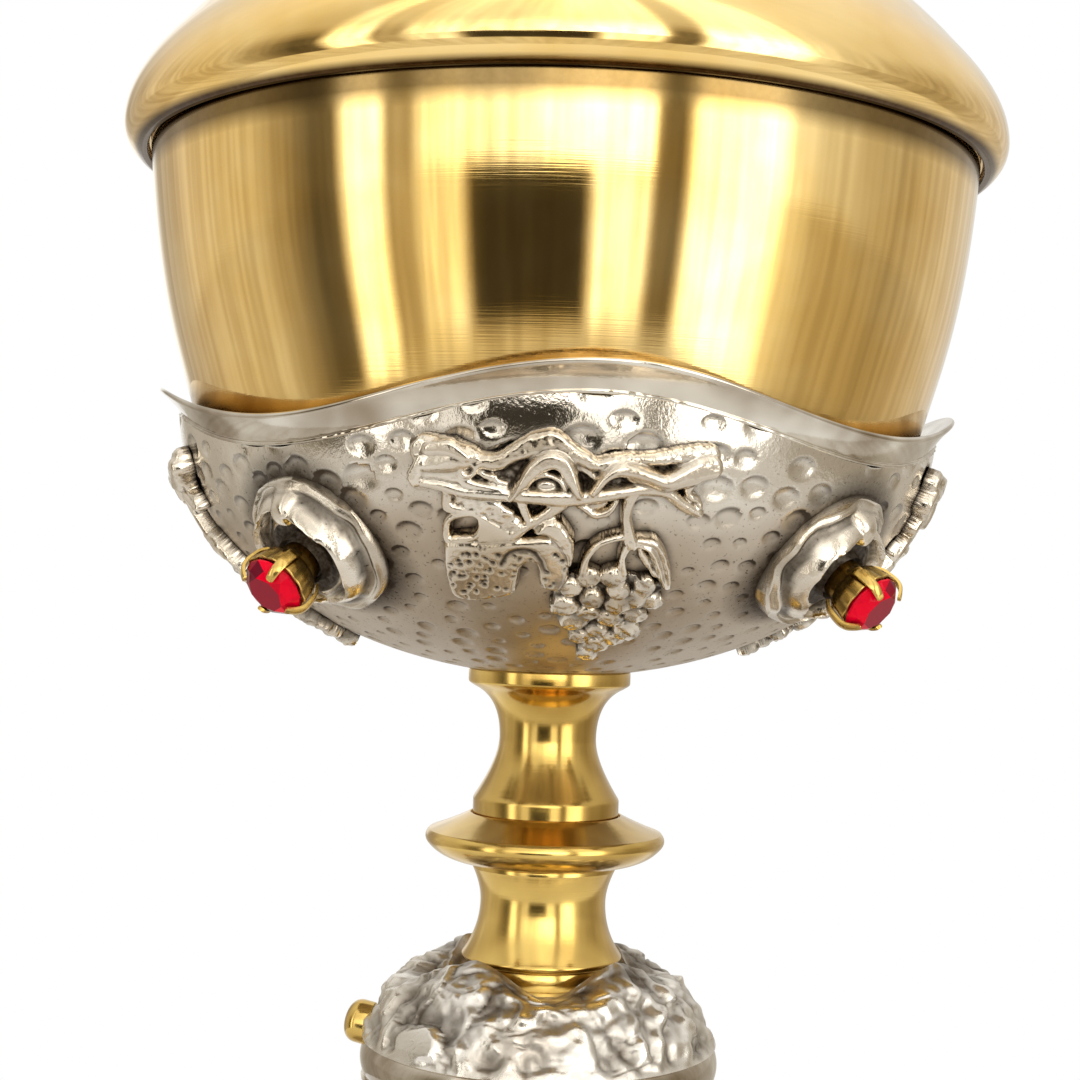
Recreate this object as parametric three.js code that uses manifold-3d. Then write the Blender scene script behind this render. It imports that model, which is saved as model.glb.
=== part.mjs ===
// Ciborium: a covered cup on a turned stem, with a hammered silver calyx, four vine reliefs and four stones.
// Sizes are in millimetres. +Z is up, and the origin is the middle of the foot, on the table.
// The front is towards -Y, and angles around the axis run from the front towards +X.
import * as THREE from "three";
import { TessellateModifier } from "three/addons/modifiers/TessellateModifier.js";
import { mergeVertices } from "three/addons/utils/BufferGeometryUtils.js";
import Module from "manifold-3d";

const wasm = await Module();
wasm.setup();

// Cup
const CUP_RADIUS = 55;
const CUP_DEPTH = 65;
const CUP_TAPER = 0.085; // how much the wall draws in for each millimetre down
const CUP_FULLNESS = 2.6; // 2 is an ellipse, and more is fuller
const CUP_WALL = 1.2;
const CUP_FLAT_RADIUS = 7.5; // flat middle of the bottom, where the stud is soldered

// Calyx and its wavy band
const CALYX_HEIGHT = 33.1; // from its seat up to its widest level, which is near its rim
const CALYX_CLEARANCE = 0.9; // from the cup to the calyx's inside, at that level
const CALYX_WALL = 1.2;
const CALYX_SEAT_RADIUS = 11.4; // flat bottom, which the stem's collar bears on
const LOBES = 4;
const WAVE = 2.9; // how far the lobes rise above the mean height
const WAVE_FADE = 3; // the power with which the wave grows from the seat up to the rim
const SEAM_DROP = 3.8; // mean height of the seam, below the calyx's widest level
const BAND_HEIGHT = 3.2;
const BAND_WALL = 0.9;
const BAND_FLARE = 2.6;
const BAND_LOBE_FLARE = 0.7; // how much further the lobes turn out than the dips
const BAND_EDGE = 0.4; // its top edge slants this far
const BAND_BEND = 0.6; // share of its height where it starts to turn out

// Bosses and stones
const BOSS_DROP = 19.9; // down the calyx's skin from its widest level
const BOSS_TILT = 37.5; // the stone looks down by this many degrees
const BOSS_RADIUS = 9.6;
const BOSS_RIDGE_RADIUS = 7.2;
const BOSS_HEIGHT = 3.4;
const BOSS_ROOT = 4; // it is made this much too deep and then cut along the calyx
const BOSS_SKIRT = 0.6; // drop of its outer edge
const RIDGE_SLOPE = 1.2; // width of the ridge's outer curve
const DISH_LEVEL = 1.5; // height at the foot of the tube
const TUBE_RADIUS = 4.2;
const TUBE_HEIGHT = 4.6;
const LUMP_RADIUS = 2.1;
const LUMP_INSET = 1; // from the ridge towards the tube
const LUMP_SINK = 0.6;
const SETTING_RADIUS = 4.6;
const SETTING_HEIGHT = 3.4;
const SETTING_FLOOR = 0.3; // thickness of its bottom
const SETTING_TAPER = 0.7; // how much narrower it is at its foot
const PEG_RADIUS = 2.6;
const PEG_LENGTH = 1.8;
const CLAW_WIDTH = 1.5;
const CLAW_WALL = 0.6;
const CLAW_ROOT = 0.5; // how far a claw starts inside the setting's wall
const CLAW_SHOULDER = 0.9; // rise of its bend above the setting's edge
const CLAW_TIP = 1.9; // rise of its tip above that edge
const CLAW_REACH = 0.7; // how far the tip reaches in over the stone
const GEM_RADIUS = 4;
const GEM_PLAY = 0.15; // between the stone and its setting, on each side
const GEM_LIFT = 0.2; // girdle above the setting's edge
const GEM_CROWN = 1.7;
const GEM_PAVILION = 2.4;
const GEM_TABLE_RADIUS = 2.1;

// Vine relief, a flat casting that is bent to the calyx
const DRAWING_WIDTH = 33; // the relief is drawn in units of a thirty-third of its width
const VINE_WIDTH = 33;
const VINE_HEIGHT = 1.9;
const LIMB_HEIGHT = 2.9;
const GROUND_HEIGHT = 1.1;
const GRAPE_RADIUS = 2.1;
const BEND_STEP = 12; // longest edge of a facet that is bent

// Stem, from the calyx down
const STEM_UPPER_HEIGHT = 19.9;
const COLLAR_RADIUS = 10.9;
const COLLAR_HEIGHT = 2.4;
const COLLAR_FILLET = 1.6;
const UPPER_WAIST_RADIUS = 6.5;
const UPPER_WAIST_LEVEL = 0.54; // share of the way from the band up to the collar
const NECK_FLARE = 0.65; // share of the way up to the waist where the flare's curve is pulled in
const STEM_BAND_RADIUS = 9.8;
const STEM_BAND_HEIGHT = 2.5;
const DISC_RADIUS = 16.1;
const DISC_HEIGHT = 6;
const DISC_EDGE_LEVEL = 3.4; // its rounded edge, above its bottom
const DISC_EDGE_HEIGHT = 1.7;
const DISC_CROWN = 0.6; // its sloping top stands this far above its seat, round the foot of the neck
const STEM_LOWER_HEIGHT = 13;
const LOWER_WAIST_RADIUS = 8.4;
const LOWER_WAIST_LEVEL = 0.6; // share of its height
const LOWER_NECK_FILLET = 3.2;
const FLARE_RADIUS = 10.8;
const FLARE_EDGE = 0.7;
const STEM_TOP_RADIUS = 9.9;
const EDGE = 0.3; // small bevels and steps of turned edges

// Large knop
const KNOP_RADIUS = 24;
const KNOP_HALF_HEIGHT = 17.6; // of the oval that its skin follows
const KNOP_SEAT_HEIGHT = 10.3; // the rings sit this far above and below its middle
const KNOP_WELL_RADIUS = 11.5;
const KNOP_LIP = 1.6; // width of the rim around the well
const KNOP_WALL = 1.6;
const KNOP_BAND_EDGE = 0.8; // how far the band's edges lie inside the skin
const KNOP_BAND_HEIGHT = 5;
const KNOP_BAND_WIDTH = 3.5; // from the skin inwards
const KNOP_THICKNESS = 3; // of the cast wall at the band
const KNOP_RING_RADIUS = 9.6;
const KNOP_RING_HEIGHT = 2.6;
const NOTCH_RADIUS = 5.4; // the valleys between the four leaves
const NOTCH_FLOOR = 0.3; // above the seat
const NOTCH_SLOPE = 8; // degrees down and outwards
const STUD_RADIUS = 3;
const STUD_ANGLE = -101.5;
const STUD_RISE = 3; // above the knop's middle
const STUD_TILT = 12; // it faces a little upwards
const STUD_PROUD = 2.6;

// Below the knop
const STEM_FOOT_HEIGHT = 30.6;
const FOOT_WAIST_RADIUS = 7;
const FOOT_BAND_HEIGHT = 2.4;
const FOOT_FILLET = 5;
const BASE_COLLAR_RADIUS = 12;
const BASE_COLLAR_HEIGHT = 3.5;
const BASE_RADIUS = 60.5;
const BASE_DEPTH = 36;
const BASE_WALL = 1.4;
const FOOT_RING_RADIUS = 65;
const FOOT_RING_HEIGHT = 4.6;
const FOOT_RING_WIDTH = 7;

// Rod and fasteners
const ROD_RADIUS = 3;
const BORE_CLEARANCE = 0.4;
const THREAD_CLEARANCE = 0.12;
const CUP_STUD_RADIUS = 4.6;
const CUP_STUD_LENGTH = 12;
const CUP_STUD_FLANGE = 1;
const CUP_STUD_CAP = 2; // closed end of its bore
const NUT_ACROSS_FLATS = 10;
const NUT_HEIGHT = 5;
const WASHER_RADIUS = 9;
const WASHER_THICKNESS = 1.2;
const ROD_END = 2.5; // how far the rod stands out of its nut

// Lid and finial
const LID_SEAT_GAP = 0.2;
const LIP_RADIUS = 58.5;
const LIP_DROP = 1.2; // the lip hangs this far below the cup's rim
const LIP_CLEARANCE = 0.4;
const LIP_HEIGHT = 2.2; // from the cup's rim to the lid's widest level
const LIP_EDGE = 0.8; // width of its flat lower edge
const SHOULDER_FULLNESS = 6.4; // height of the point that pulls the shoulder's curve outwards
const SHOULDER_RADIUS = 53.4;
const SHOULDER_HEIGHT = 11.8;
const CROWN_ANGLE = 50; // slope of the dome where it leaves the shoulder, in degrees
const LID_WALL = 1.2;
const LID_FLAT_RADIUS = 7;
const GUIDE_DEPTH = 7;
const GUIDE_RISE = 2.6; // how far it is soldered up inside the lip
const GUIDE_WALL = 0.9;
const GUIDE_TAPER = 0.9; // how far it draws in towards its lower edge
const GUIDE_EDGE = 0.6; // thickness of that edge
const GUIDE_CLEARANCE = 0.7;
const FINIAL_COLLAR_HEIGHT = 4;
const FINIAL_COLLAR_RADIUS = 6.4;
const FINIAL_KNOP_RADIUS = 6;
const FINIAL_KNOP_HEIGHT = 9;
const FINIAL_NECK_RADIUS = 3.4;
const FINIAL_FILLET = 1.2;
const CROSS_HEIGHT = 26;
const CROSS_SPAN = 18;
const CROSS_BAR = 3.4;
const CROSS_FLARE = 1.2; // how much wider each arm is at its end
const CROSS_THICKNESS = 2.6;
const CROSS_FOOT_FLARE = 3; // height over which its foot widens
const CROSS_ARM_FLARE = 2;
const CROSS_ARM_LEVEL = 16.5; // height of the arms above the cross's foot
const CROSS_STUD_RADIUS = 2;
const FINIAL_NUT_ACROSS_FLATS = 7;
const FINIAL_NUT_HEIGHT = 3;
const FINIAL_WASHER_RADIUS = 5.5;
const FINIAL_WASHER_THICKNESS = 1;

// Gaps between pieces that are soldered together
const SOLDER_GAP = 0.05;
const SET_GAP = 0.3; // where a piece follows another one's curved face
const CAST_DETAIL = 0.1; // smaller steps than this are left out of the cast pieces

// Facets around the axis
const CALYX_SIDES = 32;
const CALYX_STEPS = 7; // facets from the calyx's seat up to its rim
const CALYX_INNER_STEPS = 3;
const WIDE_SIDES = 28;
const KNOP_SIDES = 20;
const STEM_SIDES = 16;
const SMALL_SIDES = 12;
const BOSS_SIDES = 10;

const BORE = ROD_RADIUS + BORE_CLEARANCE;
const STUD_BORE = CUP_STUD_RADIUS + BORE_CLEARANCE;

// Levels, stacked up from the table
const collarZ = FOOT_RING_HEIGHT + ovalHeight(BASE_RADIUS, BASE_DEPTH, BASE_COLLAR_RADIUS);
const footZ = collarZ + BASE_COLLAR_HEIGHT;
const lowerRingZ = footZ + STEM_FOOT_HEIGHT;
const knopSeatZ = lowerRingZ + KNOP_RING_HEIGHT;
const knopZ = knopSeatZ + KNOP_SEAT_HEIGHT;
const upperRingZ = knopZ + KNOP_SEAT_HEIGHT;
const stemLowerZ = upperRingZ + KNOP_RING_HEIGHT;
const discZ = stemLowerZ + STEM_LOWER_HEIGHT;
const stemUpperZ = discZ + DISC_HEIGHT;
const calyxSeatZ = stemUpperZ + STEM_UPPER_HEIGHT;
const cupBottomZ = calyxSeatZ + CALYX_WALL + CUP_STUD_FLANGE;
const cupRimZ = cupBottomZ + CUP_DEPTH;
const lidZ = cupRimZ + LID_SEAT_GAP;
const calyxZ = calyxSeatZ + CALYX_HEIGHT;
const seamZ = calyxZ - SEAM_DROP;

// The calyx follows an oval that stands clear of the cup and reaches its seat's edge at the right height.
const calyxWidest = cupRadius(cupRimZ - calyxZ, 0) + CALYX_CLEARANCE + CALYX_WALL;
const calyxDepth = CALYX_HEIGHT / Math.sqrt(1 - (CALYX_SEAT_RADIUS / calyxWidest) ** 2);

const root = new THREE.Group();
root.name = "ciborium";
const lid = new THREE.Group();
lid.position.z = lidZ;
root.add(lid);

const GOLD = new THREE.MeshStandardMaterial({ color: 0xd9ad4c, metalness: 1, roughness: 0.16 });
const SILVER = new THREE.MeshStandardMaterial({ color: 0xa39a8a, metalness: 1, roughness: 0.34 });
const BRIGHT_SILVER = new THREE.MeshStandardMaterial({ color: 0xd9d5cc, metalness: 1, roughness: 0.15 });
const STEEL = new THREE.MeshStandardMaterial({ color: 0x9b9ea1, metalness: 1, roughness: 0.4 });
const RED_STONE = new THREE.MeshStandardMaterial({ color: 0xd0122b, metalness: 0, roughness: 0.05 });

function add(name, geometry, material, parent = root) {
  const mesh = new THREE.Mesh(geometry, material);
  mesh.name = name;
  parent.add(mesh);
  return mesh;
}

function radians(degrees) {
  return (degrees * Math.PI) / 180;
}

// How far an oval of revolution reaches above or below its widest level, at a given radius.
function ovalHeight(radius, depth, at) {
  return depth * Math.sqrt(1 - (at / radius) ** 2);
}

// A solid of revolution about +Z, from an outline that goes once round its section.
function turned(outline, sides) {
  return new THREE.LatheGeometry(outline, sides).rotateX(Math.PI / 2);
}

// The points of a path that is walked in r and z and closed at its start.
function closed(path, divisions = 4) {
  path.closePath();
  return path.getPoints(divisions);
}

// A closed mesh as a solid that can be joined and cut.
function solid(geometry) {
  const bare = geometry.clone();
  bare.deleteAttribute("normal");
  bare.deleteAttribute("uv");
  const merged = mergeVertices(bare, 1e-4);
  const vertProperties = merged.attributes.position.array;
  const triVerts = new Uint32Array(merged.index.array);
  return new wasm.Manifold(new wasm.Mesh({ numProp: 3, vertProperties, triVerts }));
}

function geometryOf(made) {
  const mesh = made.getMesh();
  const geometry = new THREE.BufferGeometry();
  geometry.setAttribute("position", new THREE.BufferAttribute(new Float32Array(mesh.vertProperties), 3));
  geometry.setIndex(new THREE.BufferAttribute(new Uint32Array(mesh.triVerts), 1));
  geometry.computeVertexNormals();
  return geometry;
}

function joined(geometries) {
  return geometries.map(solid).reduce((whole, piece) => whole.add(piece));
}

// Angle around the axis of a vertex, from the front towards +X.
function angleOf(x, y) {
  return Math.atan2(x, -y);
}

// Moves each vertex of a piece by what the shift function says for its angle, radius and height.
function warped(geometry, shift) {
  const place = geometry.attributes.position;
  for (let i = 0; i < place.count; i++) {
    const x = place.getX(i);
    const y = place.getY(i);
    const radius = Math.hypot(x, y);
    const { out, up } = shift(angleOf(x, y), radius, place.getZ(i));
    const scale = radius > 0 ? (radius + out) / radius : 1;
    place.setXYZ(i, x * scale, y * scale, place.getZ(i) + up);
  }
  return geometry;
}

// Rise of the seam between the calyx and its band above its mean height.
function wave(angle) {
  return WAVE * Math.cos(LOBES * angle);
}

// Radius of the calyx's outside at a height.
function calyxRadius(z) {
  return calyxWidest * Math.sqrt(1 - ((calyxZ - z) / calyxDepth) ** 2);
}

// Outline of the calyx from its seat out to a given height, as radius and height, pushed out by an offset.
function calyxArc(offset, topZ, steps) {
  const radius = calyxWidest + offset;
  const depth = calyxDepth + offset;
  const start = Math.asin((calyxZ - topZ) / depth);
  const end = Math.acos(CALYX_SEAT_RADIUS / radius);
  const arc = [];
  for (let i = 0; i <= steps; i++) {
    const angle = end + ((start - end) * i) / steps;
    arc.push(new THREE.Vector2(radius * Math.cos(angle), calyxZ - depth * Math.sin(angle)));
  }
  return arc;
}

function calyx() {
  const outer = calyxArc(0, seamZ, CALYX_STEPS);
  const inner = calyxArc(-CALYX_WALL, seamZ, CALYX_INNER_STEPS).reverse();
  const floor = calyxSeatZ + CALYX_WALL;
  inner[inner.length - 1].y = floor;
  outer[0].y = calyxSeatZ;
  const hole = STUD_BORE;
  const outline = [
    new THREE.Vector2(hole, floor),
    new THREE.Vector2(hole, calyxSeatZ),
    ...outer,
    ...inner,
    new THREE.Vector2(hole, floor),
  ];
  const reach = seamZ - calyxSeatZ;
  return warped(turned(outline, CALYX_SIDES), (angle, radius, z) => {
    const up = wave(angle) * Math.max(0, (z - calyxSeatZ) / reach) ** WAVE_FADE;
    return { out: calyxRadius(z + up) - calyxRadius(z), up };
  });
}

function calyxRimBand() {
  const edge = calyxRadius(seamZ);
  const bottom = seamZ + SOLDER_GAP;
  const top = bottom + BAND_HEIGHT;
  const path = new THREE.Path();
  path.moveTo(edge - BAND_WALL, bottom);
  path.lineTo(edge, bottom);
  path.quadraticCurveTo(edge + EDGE, bottom + BAND_BEND * BAND_HEIGHT, edge + BAND_FLARE, top);
  path.lineTo(edge + BAND_FLARE - BAND_WALL, top + BAND_EDGE);
  const bend = bottom + BAND_BEND * BAND_HEIGHT + BAND_EDGE;
  path.quadraticCurveTo(edge - BAND_WALL, bend, edge - BAND_WALL, bottom);
  return warped(turned(path.getPoints(2), CALYX_SIDES), (angle, radius, z) => ({
    out: (BAND_LOBE_FLARE * Math.cos(LOBES * angle) * (z - bottom)) / BAND_HEIGHT,
    up: wave(angle),
  }));
}

// The solid that anything soldered to the outside of the calyx is cut by.
function calyxCutter() {
  const arc = calyxArc(SET_GAP, calyxZ, CALYX_STEPS);
  const outline = [
    new THREE.Vector2(0, arc[0].y),
    ...arc,
    new THREE.Vector2(0, calyxZ),
  ];
  return solid(turned(outline, CALYX_SIDES));
}

// Angle of the calyx's oval at a distance down its skin from its widest level.
function calyxAngle(down) {
  let angle = 0;
  for (let left = down; left > 0; left -= 0.5) {
    const step = Math.min(left, 0.5);
    angle += step / Math.hypot(calyxWidest * Math.sin(angle), calyxDepth * Math.cos(angle));
  }
  return angle;
}

// A point on the calyx: how far aside of the front, how far down its skin, and how far out of it.
function onCalyx(aside, down, lift) {
  const angle = calyxAngle(down);
  const ring = calyxWidest * Math.cos(angle);
  const normal = new THREE.Vector2(calyxDepth * Math.cos(angle), -calyxWidest * Math.sin(angle)).normalize();
  const radius = ring + lift * normal.x;
  const around = aside / ring;
  return new THREE.Vector3(
    radius * Math.sin(around),
    -radius * Math.cos(around),
    calyxZ - calyxDepth * Math.sin(angle) + lift * normal.y,
  );
}

// Bends a flat casting to the calyx. It is drawn with x aside, -y down the skin and z out of it.
function bent(geometry) {
  const fine = new TessellateModifier(BEND_STEP, 5).modify(geometry.toNonIndexed());
  const place = fine.attributes.position;
  for (let i = 0; i < place.count; i++) {
    const point = onCalyx(place.getX(i), -place.getY(i), place.getZ(i) + SET_GAP);
    place.setXYZ(i, point.x, point.y, point.z);
  }
  return fine;
}

// A point of the relief's drawing, whose numbers are read as thirty-thirds of its width.
function drawn([aside, down]) {
  return new THREE.Vector2(aside, -down).multiplyScalar(VINE_WIDTH / DRAWING_WIDTH);
}

// A flat strip along a few points of the drawing, as wide at its ends as in its middle.
function strip(places, width) {
  const line = places.map(drawn);
  const half = (width / 2) * (VINE_WIDTH / DRAWING_WIDTH);
  const left = [];
  const right = [];
  line.forEach((point, i) => {
    const next = line[Math.min(i + 1, line.length - 1)];
    const along = next.clone().sub(line[Math.max(i - 1, 0)]).setLength(half);
    left.push(new THREE.Vector2(point.x - along.y, point.y + along.x));
    right.unshift(new THREE.Vector2(point.x + along.y, point.y - along.x));
  });
  return new THREE.Shape([...left, ...right]);
}

// A closed area of the drawing: its first place, then a control point and an end for each curve round it.
function area(start, curves) {
  const shape = new THREE.Shape();
  shape.moveTo(...drawn(start));
  curves.forEach(([control, end]) => shape.quadraticCurveTo(...drawn(control), ...drawn(end)));
  return shape;
}

function slab(shape, height) {
  return new THREE.ExtrudeGeometry(shape, { depth: height, curveSegments: 2, bevelEnabled: false });
}

function loaf() {
  return area([-15.3, 17.6], [
    [[-16.1, 22], [-14.4, 25.8]],
    [[-12, 27.4], [-7.1, 25.6]],
    [[-7.2, 20.4], [-5.8, 20.4]],
    [[-4.8, 20.4], [-4.6, 24.4]],
    [[-2, 25.4], [-1.6, 21.6]],
    [[-1.4, 17.8], [-4, 17]],
    [[-9, 16.4], [-15.3, 17.6]],
  ]);
}

function bunch() {
  return area([-2.4, 23.4], [[[3, 21], [9.2, 23.4]], [[10, 30], [3, 39.8]], [[-3.4, 32], [-2.4, 23.4]]]);
}

function vineRelief() {
  const branch = strip([[-19, 10.6], [-13.3, 11.7], [-2, 12.2], [6, 10.8], [12.2, 13.2]], 1.3);
  const topEdge = strip([[-18.4, 7.2], [-13.4, 7.2], [-10, 8.4], [-4.6, 6.4], [0.5, 8.4], [12.6, 7]], 1.9);
  const limb = strip([[12.9, 7.9], [7.9, 9.6], [3.2, 8.9], [0.6, 11]], 1.7);
  const flats = [
    branch,
    topEdge,
    loaf(),
    strip([[-8, 11.9], [-6.3, 9], [-4.2, 8.1], [-2.6, 9.2], [-1.3, 11.9]], 1.3),
    strip([[-18.5, 7.4], [-18.6, 10.6]], 1.3),
    strip([[-14.8, 11.6], [-14.6, 18]], 1.1),
    strip([[-14.4, 13], [-8, 16.9]], 2.2),
    strip([[-2.8, 12.3], [-8, 17]], 1.3),
    strip([[4.8, 11], [4.1, 14], [4.7, 17.4], [4.5, 24]], 1.1),
    strip([[4.6, 16.9], [1.4, 18.2], [0.2, 23.6]], 1),
    strip([[4.8, 17.3], [7.6, 18.6], [9.4, 24]], 1.4),
  ];
  const grounds = [bunch(), strip([[-12.6, 9.7], [-8.2, 9.7]], 3.6), strip([[-1.6, 9.7], [1.2, 9.7]], 2.8)];
  const pieces = [
    ...flats.map((shape) => slab(shape, VINE_HEIGHT)),
    ...grounds.map((shape) => slab(shape, GROUND_HEIGHT)),
    slab(limb, LIMB_HEIGHT),
    ...grapes(),
  ];
  const table = new THREE.BoxGeometry(2 * VINE_WIDTH, 4 * VINE_WIDTH, VINE_WIDTH);
  table.translate(0, 0, -VINE_WIDTH / 2);
  return bent(geometryOf(joined(pieces).subtract(solid(table)).simplify(CAST_DETAIL)));
}

// Grapes in rows that narrow downwards, as half-sunk beads.
function grapes() {
  const rows = [[24.6, [-0.4, 3.6, 7.6]], [28.6, [-0.8, 2.6, 6.2]], [32.8, [1, 4.8]], [36.8, [2.8]]];
  return rows.flatMap(([down, asides]) => asides.map((aside) => {
    const place = drawn([aside, down]);
    return new THREE.IcosahedronGeometry(GRAPE_RADIUS, 0).translate(place.x, place.y, GROUND_HEIGHT);
  }));
}

// The boss's own frame: its +Z is the way the stone looks.
function bossFrame() {
  const origin = onCalyx(0, BOSS_DROP, 0);
  return new THREE.Matrix4().makeRotationX(radians(90 + BOSS_TILT)).setPosition(origin);
}

function boss(cutter) {
  const path = new THREE.Path();
  path.moveTo(0, -BOSS_ROOT);
  path.lineTo(BOSS_RADIUS, -BOSS_ROOT);
  path.lineTo(BOSS_RADIUS, -BOSS_SKIRT);
  path.quadraticCurveTo(BOSS_RIDGE_RADIUS + RIDGE_SLOPE, BOSS_HEIGHT, BOSS_RIDGE_RADIUS, BOSS_HEIGHT);
  path.lineTo(TUBE_RADIUS, DISH_LEVEL);
  path.lineTo(TUBE_RADIUS, TUBE_HEIGHT);
  path.lineTo(PEG_RADIUS + SET_GAP, TUBE_HEIGHT);
  path.lineTo(PEG_RADIUS + SET_GAP, TUBE_HEIGHT - PEG_LENGTH - SET_GAP);
  path.lineTo(0, TUBE_HEIGHT - PEG_LENGTH - SET_GAP);
  const body = turned(path.getPoints(2), BOSS_SIDES);
  const lump = new THREE.IcosahedronGeometry(LUMP_RADIUS, 0);
  lump.translate(0, BOSS_RIDGE_RADIUS - LUMP_INSET, BOSS_HEIGHT - LUMP_SINK);
  const made = joined([body.applyMatrix4(bossFrame()), lump.applyMatrix4(bossFrame())]);
  return geometryOf(made.subtract(cutter).simplify(CAST_DETAIL));
}

function gemSetting() {
  const inner = GEM_RADIUS + GEM_PLAY;
  const floor = SETTING_HEIGHT - GEM_PAVILION - SETTING_FLOOR;
  const path = new THREE.Path();
  path.moveTo(0, -PEG_LENGTH);
  path.lineTo(PEG_RADIUS, -PEG_LENGTH);
  path.lineTo(PEG_RADIUS, SETTING_FLOOR);
  path.lineTo(SETTING_RADIUS - SETTING_TAPER, SETTING_FLOOR);
  path.lineTo(SETTING_RADIUS, SETTING_HEIGHT);
  path.lineTo(inner, SETTING_HEIGHT);
  path.lineTo(1, floor);
  path.lineTo(0, floor);
  const pieces = [turned(path.getPoints(1), 8)];
  const side = new THREE.Shape();
  side.moveTo(SETTING_RADIUS - CLAW_ROOT, CLAW_ROOT);
  side.lineTo(SETTING_RADIUS + CLAW_WALL, SETTING_HEIGHT + CLAW_SHOULDER);
  side.lineTo(GEM_RADIUS - CLAW_REACH, SETTING_HEIGHT + CLAW_TIP);
  side.lineTo(inner + GEM_PLAY, SETTING_HEIGHT + CLAW_WALL);
  for (let i = 0; i < 4; i++) {
    const claw = new THREE.ExtrudeGeometry(side, { depth: CLAW_WIDTH, bevelEnabled: false });
    claw.translate(0, 0, -CLAW_WIDTH / 2).rotateX(Math.PI / 2);
    pieces.push(claw.rotateZ(radians(45 + 90 * i)));
  }
  return geometryOf(joined(pieces));
}

function gem() {
  const girdle = SETTING_HEIGHT + GEM_LIFT;
  const outline = [
    new THREE.Vector2(0, girdle - GEM_PAVILION),
    new THREE.Vector2(GEM_RADIUS - GEM_PLAY, girdle - GEM_LIFT / 2),
    new THREE.Vector2(GEM_RADIUS - GEM_PLAY, girdle + GEM_LIFT),
    new THREE.Vector2(GEM_TABLE_RADIUS, girdle + GEM_CROWN),
    new THREE.Vector2(0, girdle + GEM_CROWN),
  ];
  return turned(outline, 8);
}

// Stone, claws and mound, turned into place below each dip of the rim.
function addBosses(cutter) {
  const mound = boss(cutter);
  const setting = gemSetting();
  const stone = gem();
  for (let i = 0; i < LOBES; i++) {
    const place = new THREE.Group();
    place.rotation.z = radians(360 / LOBES) * (i + 0.5);
    root.add(place);
    add(`boss_${i + 1}`, mound, SILVER, place);
    const seat = new THREE.Group();
    seat.applyMatrix4(bossFrame());
    place.add(seat);
    const raised = new THREE.Group();
    raised.position.z = TUBE_HEIGHT;
    seat.add(raised);
    add(`gem_setting_${i + 1}`, setting, GOLD, raised);
    add(`gem_${i + 1}`, stone, RED_STONE, raised);
  }
}

function addReliefs() {
  const relief = vineRelief();
  ["front", "right", "back", "left"].forEach((side, i) => {
    const mesh = add(`vine_relief_${side}`, relief, SILVER);
    mesh.rotation.z = radians(360 / LOBES) * i;
  });
}

// Radius of the cup's outside, or of its inside, at a distance below the rim.
function cupRadius(below, wall) {
  const depth = CUP_DEPTH - wall;
  const fullness = (1 - (below / depth) ** CUP_FULLNESS) ** (1 / CUP_FULLNESS);
  return (CUP_RADIUS - wall - CUP_TAPER * below) * fullness;
}

// Points down the cup's wall, closer together where it curves most.
function cupWall(wall, steps) {
  const depth = CUP_DEPTH - wall;
  const points = [];
  for (let i = 0; i < steps; i++) {
    const below = depth * Math.sin((Math.PI / 2) * (i / steps));
    points.push(new THREE.Vector2(cupRadius(below, wall), cupRimZ - below));
  }
  return points;
}

function cupBowl() {
  const floor = cupBottomZ + CUP_WALL;
  const outline = [
    new THREE.Vector2(0, cupBottomZ),
    new THREE.Vector2(CUP_FLAT_RADIUS + 1, cupBottomZ),
    ...cupWall(0, 8).reverse(),
    ...cupWall(CUP_WALL, 6),
    new THREE.Vector2(CUP_FLAT_RADIUS, floor),
    new THREE.Vector2(0, floor),
  ];
  return turned(outline, WIDE_SIDES);
}

// Flange soldered to the cup's flat bottom, and a threaded shank that goes down through the calyx.
function cupStud() {
  const bottom = cupBottomZ - CUP_STUD_LENGTH;
  const bore = ROD_RADIUS + THREAD_CLEARANCE;
  const path = new THREE.Path();
  path.moveTo(bore, bottom);
  path.lineTo(CUP_STUD_RADIUS, bottom);
  path.lineTo(CUP_STUD_RADIUS, cupBottomZ - CUP_STUD_FLANGE);
  path.lineTo(CUP_FLAT_RADIUS, cupBottomZ - CUP_STUD_FLANGE);
  path.lineTo(CUP_FLAT_RADIUS, cupBottomZ);
  path.lineTo(0, cupBottomZ);
  path.lineTo(0, cupBottomZ - CUP_STUD_CAP);
  path.lineTo(bore, cupBottomZ - CUP_STUD_CAP);
  path.lineTo(bore, bottom);
  return turned(path.getPoints(1), SMALL_SIDES);
}

function stemUpper() {
  const bandTop = stemUpperZ + STEM_BAND_HEIGHT;
  const collarBottom = calyxSeatZ - COLLAR_HEIGHT;
  const waistZ = bandTop + UPPER_WAIST_LEVEL * (collarBottom - bandTop);
  const flareZ = bandTop + NECK_FLARE * (waistZ - bandTop);
  const path = new THREE.Path();
  path.moveTo(STUD_BORE, stemUpperZ);
  path.lineTo(STEM_BAND_RADIUS, stemUpperZ);
  path.lineTo(STEM_BAND_RADIUS, bandTop);
  path.quadraticCurveTo(UPPER_WAIST_RADIUS, flareZ, UPPER_WAIST_RADIUS, waistZ);
  path.quadraticCurveTo(UPPER_WAIST_RADIUS, collarBottom - COLLAR_FILLET, COLLAR_RADIUS - EDGE, collarBottom);
  path.lineTo(COLLAR_RADIUS, collarBottom + EDGE);
  path.lineTo(COLLAR_RADIUS, calyxSeatZ);
  path.lineTo(STUD_BORE, calyxSeatZ);
  return turned(closed(path, 2), STEM_SIDES);
}

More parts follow.
